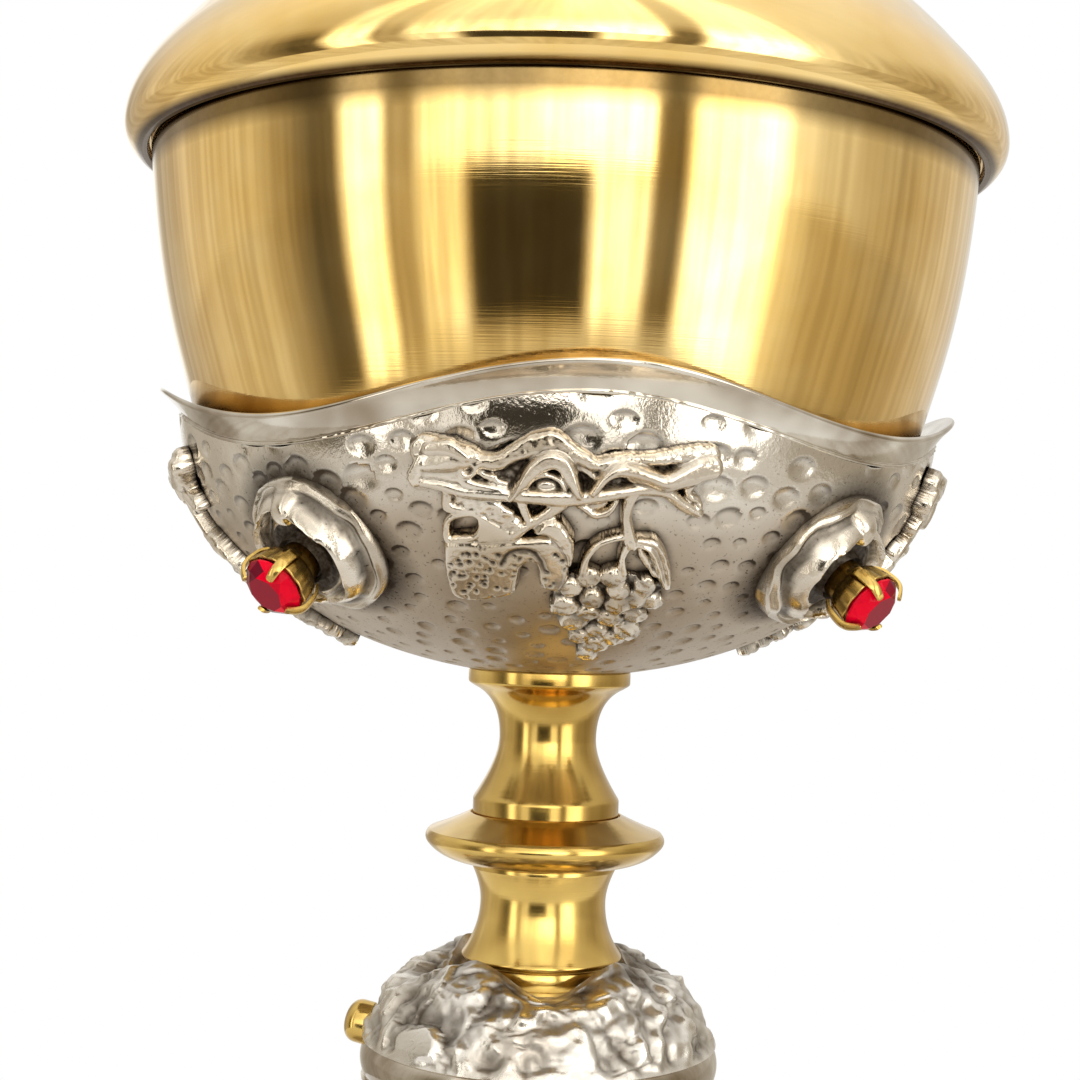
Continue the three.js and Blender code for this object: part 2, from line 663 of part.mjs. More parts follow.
// A flange with a thin rounded edge: it swells below and slopes down outwards on top.
function stemDisc() {
  const edge = discZ + DISC_EDGE_LEVEL;
  const low = edge - DISC_EDGE_HEIGHT / 2;
  const high = edge + DISC_EDGE_HEIGHT / 2;
  const crown = stemUpperZ + DISC_CROWN;
  const path = new THREE.Path();
  path.moveTo(BORE, discZ);
  path.lineTo(STEM_TOP_RADIUS, discZ);
  path.quadraticCurveTo((STEM_TOP_RADIUS + DISC_RADIUS) / 2 + 1, discZ + EDGE, DISC_RADIUS - EDGE, low);
  path.quadraticCurveTo(DISC_RADIUS + EDGE, edge, DISC_RADIUS - 2 * EDGE, high);
  const slope = (high + crown) / 2 - EDGE;
  path.quadraticCurveTo((STEM_BAND_RADIUS + DISC_RADIUS) / 2, slope, STEM_BAND_RADIUS + EDGE, crown);
  path.lineTo(STEM_BAND_RADIUS + EDGE, stemUpperZ);
  path.lineTo(BORE, stemUpperZ);
  return turned(closed(path, 2), STEM_SIDES);
}

function stemLower() {
  const waistZ = stemLowerZ + LOWER_WAIST_LEVEL * STEM_LOWER_HEIGHT;
  const flareZ = stemLowerZ + (LOWER_WAIST_LEVEL / 2) * STEM_LOWER_HEIGHT;
  const path = new THREE.Path();
  path.moveTo(BORE, stemLowerZ);
  path.lineTo(FLARE_RADIUS - EDGE, stemLowerZ);
  path.lineTo(FLARE_RADIUS, stemLowerZ + FLARE_EDGE);
  path.quadraticCurveTo(LOWER_WAIST_RADIUS, flareZ, LOWER_WAIST_RADIUS, waistZ);
  const top = STEM_TOP_RADIUS - EDGE;
  path.quadraticCurveTo(LOWER_WAIST_RADIUS, discZ - LOWER_NECK_FILLET, top, discZ - FLARE_EDGE);
  path.lineTo(top, discZ);
  path.lineTo(BORE, discZ);
  return turned(closed(path, 2), STEM_SIDES);
}

function knopRing(bottom) {
  const middle = bottom + KNOP_RING_HEIGHT / 2;
  const path = new THREE.Path();
  path.moveTo(BORE, bottom);
  path.lineTo(KNOP_RING_RADIUS - EDGE, bottom);
  path.quadraticCurveTo(KNOP_RING_RADIUS + EDGE, middle, KNOP_RING_RADIUS - EDGE, bottom + KNOP_RING_HEIGHT);
  path.lineTo(BORE, bottom + KNOP_RING_HEIGHT);
  return turned(closed(path, 2), STEM_SIDES);
}

// One half of the large knop, modelled above its middle: an oval skin, a well and four valleys.
function knopHalf() {
  const bottom = KNOP_BAND_HEIGHT / 2 + SOLDER_GAP;
  const seat = KNOP_SEAT_HEIGHT;
  const start = Math.asin(bottom / KNOP_HALF_HEIGHT);
  const end = Math.acos((KNOP_WELL_RADIUS + KNOP_LIP) / KNOP_RADIUS);
  const outline = [];
  const steps = 4;
  for (let i = 0; i <= steps; i++) {
    const angle = start + ((end - start) * i) / steps;
    outline.push(new THREE.Vector2(KNOP_RADIUS * Math.cos(angle), KNOP_HALF_HEIGHT * Math.sin(angle)));
  }
  const ceiling = seat - KNOP_WALL;
  const inner = new THREE.Path();
  inner.moveTo(KNOP_WELL_RADIUS, seat);
  inner.lineTo(BORE, seat);
  inner.lineTo(BORE, ceiling);
  inner.lineTo(KNOP_WELL_RADIUS + 1, ceiling);
  inner.quadraticCurveTo(KNOP_RADIUS - 2 * KNOP_THICKNESS, ceiling, KNOP_RADIUS - KNOP_THICKNESS, bottom);
  outline.push(...inner.getPoints(2), outline[0].clone());
  let half = solid(turned(outline, KNOP_SIDES));
  for (let i = 0; i < LOBES; i++) {
    const valley = new THREE.CylinderGeometry(NOTCH_RADIUS, NOTCH_RADIUS, 2 * KNOP_WELL_RADIUS, 8);
    const middle = seat + NOTCH_RADIUS + NOTCH_FLOOR;
    valley.translate(0, -KNOP_WELL_RADIUS, 0).rotateX(radians(NOTCH_SLOPE));
    valley.translate(0, -KNOP_RING_RADIUS, middle);
    half = half.subtract(solid(valley.rotateZ(radians(90 * i))));
  }
  return geometryOf(half);
}

function knopBand() {
  const half = KNOP_BAND_HEIGHT / 2;
  const path = new THREE.Path();
  path.moveTo(KNOP_RADIUS - KNOP_BAND_WIDTH, -half);
  path.lineTo(KNOP_RADIUS - KNOP_BAND_EDGE, -half);
  path.quadraticCurveTo(KNOP_RADIUS + KNOP_BAND_EDGE, 0, KNOP_RADIUS - KNOP_BAND_EDGE, half);
  path.lineTo(KNOP_RADIUS - KNOP_BAND_WIDTH, half);
  return turned(closed(path, 2), WIDE_SIDES);
}

// A small domed stud whose back follows the knop's skin, modelled at the front of the knop's middle.
function knopStud() {
  const path = new THREE.Path();
  path.moveTo(0, -STUD_RADIUS);
  path.lineTo(STUD_RADIUS, -STUD_RADIUS);
  path.lineTo(STUD_RADIUS, 0.3 * STUD_PROUD);
  path.quadraticCurveTo(STUD_RADIUS, 0.8 * STUD_PROUD, 0, STUD_PROUD);
  const dome = turned(path.getPoints(3), SMALL_SIDES);
  dome.rotateX(radians(90 - STUD_TILT)).translate(0, -KNOP_RADIUS, STUD_RISE);
  const skin = new THREE.SphereGeometry(1, 2 * KNOP_SIDES, KNOP_SIDES).rotateX(Math.PI / 2);
  skin.scale(KNOP_RADIUS + SET_GAP, KNOP_RADIUS + SET_GAP, KNOP_HALF_HEIGHT + SET_GAP);
  return geometryOf(solid(dome).subtract(solid(skin)));
}

function stemFoot() {
  const waistZ = footZ + 0.5 * STEM_FOOT_HEIGHT;
  const path = new THREE.Path();
  path.moveTo(BORE, footZ);
  path.lineTo(STEM_TOP_RADIUS, footZ);
  path.lineTo(STEM_TOP_RADIUS, footZ + FOOT_BAND_HEIGHT);
  path.lineTo(STEM_TOP_RADIUS - EDGE, footZ + FOOT_BAND_HEIGHT);
  path.quadraticCurveTo(FOOT_WAIST_RADIUS, footZ + FOOT_FILLET, FOOT_WAIST_RADIUS, waistZ);
  path.quadraticCurveTo(FOOT_WAIST_RADIUS, lowerRingZ - FOOT_FILLET, FLARE_RADIUS, lowerRingZ - FLARE_EDGE);
  path.lineTo(FLARE_RADIUS - EDGE, lowerRingZ);
  path.lineTo(BORE, lowerRingZ);
  return turned(closed(path, 2), STEM_SIDES);
}

function baseCollar() {
  const path = new THREE.Path();
  path.moveTo(BORE, collarZ);
  path.lineTo(BASE_COLLAR_RADIUS - 2 * EDGE, collarZ);
  path.quadraticCurveTo(BASE_COLLAR_RADIUS + EDGE, (collarZ + footZ) / 2, STEM_TOP_RADIUS + 2 * EDGE, footZ);
  path.lineTo(BORE, footZ);
  return turned(closed(path, 2), STEM_SIDES);
}

// The base's skin is the same oval as the calyx, upside down.
function baseShell() {
  const steps = 6;
  const bottom = FOOT_RING_HEIGHT + SOLDER_GAP;
  const outer = [];
  const inner = [];
  for (let i = 0; i <= steps; i++) {
    const share = i / steps;
    const outerEnd = Math.acos(BASE_COLLAR_RADIUS / BASE_RADIUS);
    const innerEnd = Math.acos(BASE_COLLAR_RADIUS / (BASE_RADIUS - BASE_WALL));
    outer.push(new THREE.Vector2(
      BASE_RADIUS * Math.cos(outerEnd * share),
      bottom + (collarZ - bottom) * (Math.sin(outerEnd * share) / Math.sin(outerEnd)),
    ));
    inner.unshift(new THREE.Vector2(
      (BASE_RADIUS - BASE_WALL) * Math.cos(innerEnd * share),
      bottom + (collarZ - BASE_WALL - bottom) * (Math.sin(innerEnd * share) / Math.sin(innerEnd)),
    ));
  }
  const outline = [
    ...outer,
    new THREE.Vector2(BORE, collarZ),
    new THREE.Vector2(BORE, collarZ - BASE_WALL),
    ...inner,
    outer[0].clone(),
  ];
  return turned(outline, WIDE_SIDES);
}

function baseRimBand() {
  const path = new THREE.Path();
  path.moveTo(FOOT_RING_RADIUS - FOOT_RING_WIDTH, 0);
  path.lineTo(FOOT_RING_RADIUS - EDGE, 0);
  path.lineTo(FOOT_RING_RADIUS, EDGE);
  path.quadraticCurveTo(BASE_RADIUS + 2 * EDGE, FOOT_RING_HEIGHT / 4, BASE_RADIUS, FOOT_RING_HEIGHT);
  path.lineTo(BASE_RADIUS - BASE_WALL, FOOT_RING_HEIGHT);
  return turned(closed(path, 2), WIDE_SIDES);
}

const nutZ = collarZ - BASE_WALL - WASHER_THICKNESS - NUT_HEIGHT;
const rodBottomZ = nutZ - ROD_END;
const rodTopZ = cupBottomZ - CUP_STUD_CAP - SET_GAP;

function tieRod() {
  const outline = [
    new THREE.Vector2(0, rodBottomZ),
    new THREE.Vector2(ROD_RADIUS - EDGE, rodBottomZ),
    new THREE.Vector2(ROD_RADIUS, rodBottomZ + EDGE),
    new THREE.Vector2(ROD_RADIUS, rodTopZ),
    new THREE.Vector2(0, rodTopZ),
  ];
  return turned(outline, SMALL_SIDES);
}

function nut(acrossFlats, height, bore) {
  const outline = new THREE.Shape();
  for (let i = 0; i < 6; i++) {
    const corner = acrossFlats / Math.sqrt(3);
    const angle = radians(60 * i);
    const step = i === 0 ? "moveTo" : "lineTo";
    outline[step](corner * Math.cos(angle), corner * Math.sin(angle));
  }
  const hole = new THREE.Path();
  hole.absarc(0, 0, bore, 0, 2 * Math.PI, true);
  outline.holes.push(hole);
  const curveSegments = SMALL_SIDES / 2;
  return new THREE.ExtrudeGeometry(outline, { depth: height, curveSegments, bevelEnabled: false });
}

function washer(radius, thickness, bore) {
  const path = new THREE.Path();
  path.moveTo(bore, 0);
  path.lineTo(radius, 0);
  path.lineTo(radius, thickness);
  path.lineTo(bore, thickness);
  return turned(closed(path, 1), SMALL_SIDES);
}

// The lid's outlines are measured up from its seat on the cup's rim.
const crownRadius = SHOULDER_RADIUS / Math.sin(radians(CROWN_ANGLE));
const crownCentre = SHOULDER_HEIGHT - crownRadius * Math.cos(radians(CROWN_ANGLE));

function crownHeight(radius, wall) {
  return crownCentre + Math.sqrt((crownRadius - wall) ** 2 - radius ** 2);
}

const finialZ = crownHeight(LID_FLAT_RADIUS, 0);
const finialBore = CROSS_STUD_RADIUS + THREAD_CLEARANCE;

function lidShell() {
  const lipInner = CUP_RADIUS + LIP_CLEARANCE;
  const seatInner = CUP_RADIUS - CUP_WALL - GUIDE_CLEARANCE;
  const steps = 4;
  const path = new THREE.Path();
  path.moveTo(lipInner, 0);
  path.lineTo(lipInner, -LIP_DROP);
  path.lineTo(lipInner + LIP_EDGE, -LIP_DROP);
  path.quadraticCurveTo(LIP_RADIUS, 0, LIP_RADIUS, LIP_HEIGHT);
  path.quadraticCurveTo(LIP_RADIUS, SHOULDER_FULLNESS, SHOULDER_RADIUS, SHOULDER_HEIGHT);
  const outline = path.getPoints(3);
  for (let i = 1; i <= steps; i++) {
    const radius = SHOULDER_RADIUS + ((LID_FLAT_RADIUS - SHOULDER_RADIUS) * i) / steps;
    outline.push(new THREE.Vector2(radius, crownHeight(radius, 0)));
  }
  outline.push(new THREE.Vector2(finialBore, finialZ), new THREE.Vector2(finialBore, finialZ - LID_WALL));
  outline.push(new THREE.Vector2(LID_FLAT_RADIUS, finialZ - LID_WALL));
  for (let i = 1; i <= steps; i++) {
    const end = SHOULDER_RADIUS - LID_WALL;
    const radius = LID_FLAT_RADIUS + ((end - LID_FLAT_RADIUS) * i) / steps;
    outline.push(new THREE.Vector2(radius, crownHeight(radius, LID_WALL)));
  }
  outline.push(new THREE.Vector2(LIP_RADIUS - 2 * LID_WALL, SHOULDER_HEIGHT / 2));
  outline.push(new THREE.Vector2(LIP_RADIUS - 2 * LID_WALL, GUIDE_RISE + 1));
  outline.push(new THREE.Vector2(seatInner, GUIDE_RISE), new THREE.Vector2(seatInner, 0), outline[0].clone());
  return turned(outline, WIDE_SIDES);
}

function lidGuideRing() {
  const outer = CUP_RADIUS - CUP_WALL - GUIDE_CLEARANCE - SOLDER_GAP;
  const path = new THREE.Path();
  path.moveTo(outer - GUIDE_TAPER - GUIDE_EDGE, -GUIDE_DEPTH);
  path.lineTo(outer - GUIDE_TAPER, -GUIDE_DEPTH);
  path.lineTo(outer, 0);
  path.lineTo(outer, GUIDE_RISE);
  path.lineTo(outer - GUIDE_WALL, GUIDE_RISE);
  return turned(closed(path, 1), WIDE_SIDES);
}

function finialCollar() {
  const path = new THREE.Path();
  path.moveTo(finialBore, finialZ);
  path.lineTo(FINIAL_COLLAR_RADIUS, finialZ);
  const top = finialZ + FINIAL_COLLAR_HEIGHT;
  path.quadraticCurveTo(FINIAL_NECK_RADIUS, finialZ + FINIAL_FILLET, FINIAL_NECK_RADIUS, top);
  path.lineTo(finialBore, top);
  return turned(closed(path, 3), SMALL_SIDES);
}

function finialKnop() {
  const bottom = finialZ + FINIAL_COLLAR_HEIGHT;
  const top = bottom + FINIAL_KNOP_HEIGHT;
  const middle = (bottom + top) / 2;
  const path = new THREE.Path();
  path.moveTo(finialBore, bottom);
  path.lineTo(FINIAL_NECK_RADIUS, bottom);
  path.quadraticCurveTo(FINIAL_KNOP_RADIUS, bottom + FINIAL_FILLET / 2, FINIAL_KNOP_RADIUS, middle);
  path.quadraticCurveTo(FINIAL_KNOP_RADIUS, top - FINIAL_FILLET / 2, FINIAL_NECK_RADIUS, top);
  path.lineTo(finialBore, top);
  return turned(closed(path, 3), SMALL_SIDES);
}

// A plain cross whose arms widen a little, with a stud that runs down through the finial to its nut.
function finialCross() {
  const bottom = finialZ + FINIAL_COLLAR_HEIGHT + FINIAL_KNOP_HEIGHT;
  const studBottom = finialZ - LID_WALL - FINIAL_WASHER_THICKNESS - FINIAL_NUT_HEIGHT - 1;
  const half = CROSS_BAR / 2;
  const wide = half + CROSS_FLARE;
  const arm = CROSS_SPAN / 2;
  const outline = new THREE.Shape();
  outline.moveTo(-wide, 0);
  outline.lineTo(wide, 0);
  outline.quadraticCurveTo(half, CROSS_FOOT_FLARE, half, CROSS_ARM_LEVEL - half);
  outline.quadraticCurveTo(arm - CROSS_ARM_FLARE, CROSS_ARM_LEVEL - half, arm, CROSS_ARM_LEVEL - wide);
  outline.lineTo(arm, CROSS_ARM_LEVEL + wide);
  outline.quadraticCurveTo(arm - CROSS_ARM_FLARE, CROSS_ARM_LEVEL + half, half, CROSS_ARM_LEVEL + half);
  outline.quadraticCurveTo(half, CROSS_HEIGHT - CROSS_ARM_FLARE, wide, CROSS_HEIGHT);
  outline.lineTo(-wide, CROSS_HEIGHT);
  outline.quadraticCurveTo(-half, CROSS_HEIGHT - CROSS_ARM_FLARE, -half, CROSS_ARM_LEVEL + half);
  outline.quadraticCurveTo(CROSS_ARM_FLARE - arm, CROSS_ARM_LEVEL + half, -arm, CROSS_ARM_LEVEL + wide);
  outline.lineTo(-arm, CROSS_ARM_LEVEL - wide);
  outline.quadraticCurveTo(CROSS_ARM_FLARE - arm, CROSS_ARM_LEVEL - half, -half, CROSS_ARM_LEVEL - half);
  outline.quadraticCurveTo(-half, CROSS_FOOT_FLARE, -wide, 0);
  const depth = CROSS_THICKNESS;
  const slab = new THREE.ExtrudeGeometry(outline, { depth, curveSegments: 3, bevelEnabled: false });
  slab.translate(0, 0, -CROSS_THICKNESS / 2).rotateX(Math.PI / 2).translate(0, 0, bottom);
  const length = bottom + 1 - studBottom;
  const stud = new THREE.CylinderGeometry(CROSS_STUD_RADIUS, CROSS_STUD_RADIUS, length, SMALL_SIDES);
  stud.rotateX(Math.PI / 2).translate(0, 0, studBottom + length / 2);
  return geometryOf(joined([slab, stud]));
}

function addLid() {
  add("lid_shell", lidShell(), GOLD, lid);
  add("lid_guide_ring", lidGuideRing(), GOLD, lid);
  add("finial_collar", finialCollar(), GOLD, lid);
  add("finial_knop", finialKnop(), GOLD, lid);
  add("finial_cross", finialCross(), GOLD, lid);
  const washerZ = finialZ - LID_WALL - FINIAL_WASHER_THICKNESS;
  const finialWasher = washer(FINIAL_WASHER_RADIUS, FINIAL_WASHER_THICKNESS, finialBore);
  add("finial_washer", finialWasher, GOLD, lid).position.z = washerZ;
  const finialNut = nut(FINIAL_NUT_ACROSS_FLATS, FINIAL_NUT_HEIGHT, finialBore);
  add("finial_nut", finialNut, STEEL, lid).position.z = washerZ - FINIAL_NUT_HEIGHT;
}

function addStem() {
  add("stem_upper", stemUpper(), GOLD);
  add("stem_disc", stemDisc(), GOLD);
  add("stem_lower", stemLower(), GOLD);
  add("knop_ring_upper", knopRing(upperRingZ), GOLD);
  add("knop_ring_lower", knopRing(lowerRingZ), GOLD);
  const half = knopHalf();
  add("knop_upper", half, SILVER).position.z = knopZ;
  const lower = add("knop_lower", half, SILVER);
  lower.position.z = knopZ;
  lower.rotation.x = Math.PI;
  add("knop_band", knopBand(), BRIGHT_SILVER).position.z = knopZ;
  const studPlace = new THREE.Group();
  studPlace.rotation.z = radians(STUD_ANGLE);
  root.add(studPlace);
  add("knop_stud", knopStud(), GOLD, studPlace).position.z = knopZ;
  add("stem_foot", stemFoot(), GOLD);
  add("base_collar", baseCollar(), GOLD);
}

function addBase() {
  add("base_shell", baseShell(), SILVER);
  add("base_rim_band", baseRimBand(), BRIGHT_SILVER);
  add("tie_rod", tieRod(), STEEL);
  const baseWasher = washer(WASHER_RADIUS, WASHER_THICKNESS, BORE);
  add("base_washer", baseWasher, STEEL).position.z = nutZ + NUT_HEIGHT;
  add("base_nut", nut(NUT_ACROSS_FLATS, NUT_HEIGHT, ROD_RADIUS + THREAD_CLEARANCE), STEEL).position.z = nutZ;
}

const cutter = calyxCutter();
add("cup_bowl", cupBowl(), GOLD);
add("cup_stud", cupStud(), STEEL);
add("calyx", calyx(), SILVER);
add("calyx_rim_band", calyxRimBand(), BRIGHT_SILVER);
addReliefs();
addBosses(cutter);
addStem();
addBase();
addLid();

export default root;
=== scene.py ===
# %% [markdown]
# # A ciborium of gilt brass and aged silver
# A ciborium is a covered cup. This one has a gilt cup and lid, and a silver calyx with punched
# marks, four vine castings and four red stones. The measured solids come in first as a fixed
# frame, and every finished piece is then made in the same place.

# %% Bring in the fixed frame
import math

import bmesh
import bpy
import numpy as np
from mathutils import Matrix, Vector, noise


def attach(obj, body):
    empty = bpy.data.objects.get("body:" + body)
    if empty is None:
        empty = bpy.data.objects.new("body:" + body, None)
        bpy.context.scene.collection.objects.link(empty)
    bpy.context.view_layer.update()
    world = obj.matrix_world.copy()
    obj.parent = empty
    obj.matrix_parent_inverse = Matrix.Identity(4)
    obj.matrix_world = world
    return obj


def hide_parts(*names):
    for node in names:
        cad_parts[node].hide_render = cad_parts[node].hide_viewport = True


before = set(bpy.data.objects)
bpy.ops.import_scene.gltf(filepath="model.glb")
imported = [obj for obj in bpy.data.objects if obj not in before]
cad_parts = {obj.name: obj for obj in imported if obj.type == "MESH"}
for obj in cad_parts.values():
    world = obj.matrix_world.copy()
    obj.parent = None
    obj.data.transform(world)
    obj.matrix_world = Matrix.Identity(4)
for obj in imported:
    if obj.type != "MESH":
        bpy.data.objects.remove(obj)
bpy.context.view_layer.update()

# %% [markdown]
# ## Camera
# The photograph was taken close up, from a hand's length in front of the cup and a little below
# its middle, with the object leaning slightly in the frame. The camera repeats that: its place
# and turn were worked out once from the picture's perspective and are written here as numbers.

# %% Camera at the photograph's angle
camera_data = bpy.data.cameras.new("camera")
camera_data.sensor_width = 36.0
camera_data.lens = 61.17
camera_data.clip_start = 0.01
camera = bpy.data.objects.new("camera", camera_data)
camera.location = (-0.01946, -0.24724, 0.150)
camera.rotation_euler = [math.radians(turn) for turn in (91.393, -1.7399, -4.1132)]
bpy.context.scene.collection.objects.link(camera)
bpy.context.scene.camera = camera
bpy.context.scene.view_settings.view_transform = "Standard"
print("camera stands", round(math.dist(camera.location[:2], (0, 0)) * 1000), "mm from the axis")

# %% [markdown]
# ## Nodes as plain sums
# Finishes and light are node trees. A socket that is wrapped in `Wire` can be added, multiplied
# and compared like a number, and each step lays down one Math node. `Bench.node` lays down any
# other kind of node: its type, its settings, and what goes into its sockets.

# %% Wires and the bench
class Wire:
    """A node's output that can be used in sums."""

    def __init__(self, bench, socket):
        self.bench, self.socket = bench, socket

    def _sum(self, operation, *terms):
        return self.bench.node("ShaderNodeMath", {"operation": operation}, dict(enumerate(terms)))

    def __add__(self, other): return self._sum("ADD", self, other)
    def __radd__(self, other): return self._sum("ADD", other, self)
    def __sub__(self, other): return self._sum("SUBTRACT", self, other)
    def __rsub__(self, other): return self._sum("SUBTRACT", other, self)
    def __mul__(self, other): return self._sum("MULTIPLY", self, other)
    def __rmul__(self, other): return self._sum("MULTIPLY", other, self)
    def __truediv__(self, other): return self._sum("DIVIDE", self, other)
    def __neg__(self): return self._sum("MULTIPLY", self, -1.0)
    def at_most(self, other): return self._sum("MINIMUM", self, other)
    def at_least(self, other): return self._sum("MAXIMUM", self, other)

    def between(self, low, high, new_low=0.0, new_high=1.0):
        """Eases from one value to another while this one goes from low to high."""
        return self.bench.node(
            "ShaderNodeMapRange", {"interpolation_type": "SMOOTHSTEP"},
            {"Value": self, "From Min": low, "From Max": high, "To Min": new_low, "To Max": new_high},
        )


class Bench:
    """A node tree with one method that lays down any node."""

    def __init__(self, tree):
        self.tree = tree

    def node(self, kind, settings=None, sockets=None, out=0):
        made = self.tree.nodes.new(kind)
        for key, value in (settings or {}).items():
            if key == "stops":
                stops = made.color_ramp.elements
                stops.remove(stops[-1])
                for count, (place, shade) in enumerate(value):
                    stop = stops.new(place) if count else stops[0]
                    stop.position = place
                    stop.color = (shade, shade, shade, 1)
            else:
                setattr(made, key, value)
        for key, value in (sockets or {}).items():
            socket = made.inputs[key]
            if isinstance(value, Wire):
                self.tree.links.new(value.socket, socket)
            else:
                socket.default_value = value
        return Wire(self, made.outputs[out]) if made.outputs else made

    def mix(self, share, first, second):
        """A colour part of the way from the first to the second."""
        return self.node("ShaderNodeMix", {"data_type": "RGBA"}, {0: share, 6: first, 7: second}, out=2)

    def vector(self, operation, first, second=None, out=0):
        """A sum of whole vectors, such as a product or a length."""
        sockets = {0: first} if second is None else {0: first, 1: second}
        return self.node("ShaderNodeVectorMath", {"operation": operation}, sockets, out=out)

    def scaled(self, vector, size):
        return self.node("ShaderNodeVectorMath", {"operation": "SCALE"}, {0: vector, "Scale": size})

    def split(self, vector):
        parts = self.node("ShaderNodeSeparateXYZ", {}, {"Vector": vector})
        return [Wire(self, output) for output in parts.socket.node.outputs]

    def grain(self, place, scale, detail=2.0, roughness=0.5, stretch=None):
        """Soft noise between 0 and 1 at a number of lumps to the metre, stretched if asked."""
        if stretch:
            place = self.vector("MULTIPLY", place, stretch)
        sockets = {"Vector": place, "Scale": scale, "Detail": detail, "Roughness": roughness}
        return self.node("ShaderNodeTexNoise", {}, sockets)

    def stored(self, name):
        """A value that the mesh carries under a name on its points or faces."""
        return self.node("ShaderNodeAttribute", {"attribute_name": name}, out=2)

    # Patina in the hollows of silver, and painted shade on the gilt pieces and the stones.
    def patina_and_shade(self):
        return self.stored("patina_and_shade").at_least(0.0).at_most(1.0)

    def dent(self, height, deep, under=None):
        """The surface's direction with a fine relief drawn on it, so many millimetres deep."""
        sockets = {"Strength": 1.0, "Distance": deep * 0.001, "Height": height}
        return self.node("ShaderNodeBump", {}, sockets if under is None else {**sockets, "Normal": under})

    def rays(self, *kinds):
        """1 for a ray of light of one of these kinds, and 0 for any other."""
        path = self.node("ShaderNodeLightPath").socket.node
        found = [Wire(self, path.outputs[f"Is {kind} Ray"]) for kind in kinds]
        return sum(found[1:], found[0]).at_most(1.0)

    def surface(self, sockets):
        """The finish itself, and its way out of the tree."""
        skin = self.node("ShaderNodeBsdfPrincipled", {}, sockets)
        self.node("ShaderNodeOutputMaterial", {}, {"Surface": skin})


def new_finish(label):
    """A material with an empty tree, the bench to fill it, and the place on the object."""
    made = bpy.data.materials.new(label)
    made.use_nodes = True
    made.node_tree.nodes.clear()
    bench = Bench(made.node_tree)
    return made, bench, bench.node("ShaderNodeTexCoord", out=3)


def placed(label, data):
    """A new object in the scene."""
    thing = bpy.data.objects.new(label, data)
    bpy.context.scene.collection.objects.link(thing)
    return thing


def colour(red, green, blue):
    """A colour as it looks on a screen, from 0 to 255, as the light values that Blender mixes."""
    share = [value / 255 for value in (red, green, blue)]
    return (*[v / 12.92 if v <= 0.04045 else ((v + 0.055) / 1.055) ** 2.4 for v in share], 1.0)


print("a middle gold is", [round(v, 3) for v in colour(200, 155, 65)[:3]])

# %% [markdown]
# ## A bright room for polished metal to look at
# Polished metal has no look of its own: it shows the room. Here the room is plain white to the
# camera, and to a reflection it has bright windows between upright bands of warm shade, with a
# dark block below eye level in front that ends above the floor. Fine upright streaks run
# through it all, and the middles of the windows are brighter still. The bands stay where they
# are when the camera moves.

# %% Room: white to the eye, banded to polished metal
ROOM_ABOVE = [  # degrees round from the front towards +X, and how bright the room is there
    (-180, 0.9), (-162, 0.85), (-156, 0.4), (-140, 0.45), (-128, 0.62), (-96, 0.6), (-84, 0.34), (-74, 0.12),
    (-67, 0.14), (-63, 1.4), (-54, 1.5), (-51, 0.4), (-45, 0.45), (-42, 1.1), (-31, 1.3), (-26, 1.1),
    (-12, 1.3), (-6, 1.8), (17, 2.0), (20, 0.22), (26, 0.16), (30, 1.7), (51, 1.9), (57, 1.0), (68, 0.62),
    (96, 0.4), (122, 0.55), (158, 0.6), (180, 0.9),
]
ROOM_BELOW = [
    (-180, 0.6), (-150, 0.4), (-120, 0.55), (-96, 0.55), (-84, 0.32), (-74, 0.1), (-67, 0.12), (-63, 1.3),
    (-54, 1.4), (-51, 0.42), (-45, 0.5), (-42, 1.0), (-32, 0.95), (-28, 0.05), (1, 0.04), (4, 1.3),
    (17, 1.1), (20, 0.2), (26, 0.14), (30, 1.6), (51, 1.8), (57, 0.8), (66, 0.5), (96, 0.34), (122, 0.5),
    (158, 0.5), (180, 0.6),
]
world = bpy.data.worlds.new("room")
world.use_nodes = True
world.node_tree.nodes.clear()
bpy.context.scene.world = world
BRIGHTEST, ROOM_POWER = 2.0, 1.25  # a ramp holds no value above 1, so its stops are shares of the brightest
room = Bench(world.node_tree)
east, north, upward = room.split(room.node("ShaderNodeTexCoord", out=0))
around = room.node("ShaderNodeMath", {"operation": "ARCTAN2"}, {0: east, 1: -north}) / (2 * math.pi) + 0.5
above, below = (
    room.node("ShaderNodeValToRGB",
              {"stops": [(degrees / 360 + 0.5, light / BRIGHTEST) for degrees, light in stops]},
              {"Fac": around}) * (BRIGHTEST * ROOM_POWER)
    for stops in (ROOM_ABOVE, ROOM_BELOW))
horizon = upward.between(-0.055, -0.015)
ground = upward.between(-0.37, -0.44)
upright = room.node("ShaderNodeCombineXYZ", {}, {"X": around * 130.0, "Y": upward * 1.5})
streaks = room.grain(upright, 1.0, 2.0, 0.6).between(0.3, 0.7, 0.84, 1.12)
light = below * (1.0 - horizon) + above * horizon
light = (light * (1.0 - ground) + 0.8 * ground) * streaks
light = light + (light - 1.15).at_least(0.0) * 1.5
reach = upward.between(0.2, 0.55) * 0.72
light = light * (1.0 - reach) + reach * (0.95 + 0.25 * upward.between(0.5, 0.9))
warmth = room.mix(light.between(0.2, 1.0), (1.0, 0.86, 0.64, 1.0), (1.0, 0.985, 0.95, 1.0))
white, banded, soft = (
    room.node("ShaderNodeBackground", {}, {"Color": tint, "Strength": power})
    for tint, power in (((1, 1, 1, 1), 1.0), (room.scaled(warmth, light), 1.0), ((1, 0.985, 0.96, 1), 0.72)))
lit = room.node("ShaderNodeMixShader", {}, {0: room.rays("Glossy"), 1: soft, 2: banded})
whole = room.node("ShaderNodeMixShader", {}, {0: room.rays("Camera", "Transmission"), 1: lit, 2: white})
room.node("ShaderNodeOutputWorld", {}, {"Surface": whole})
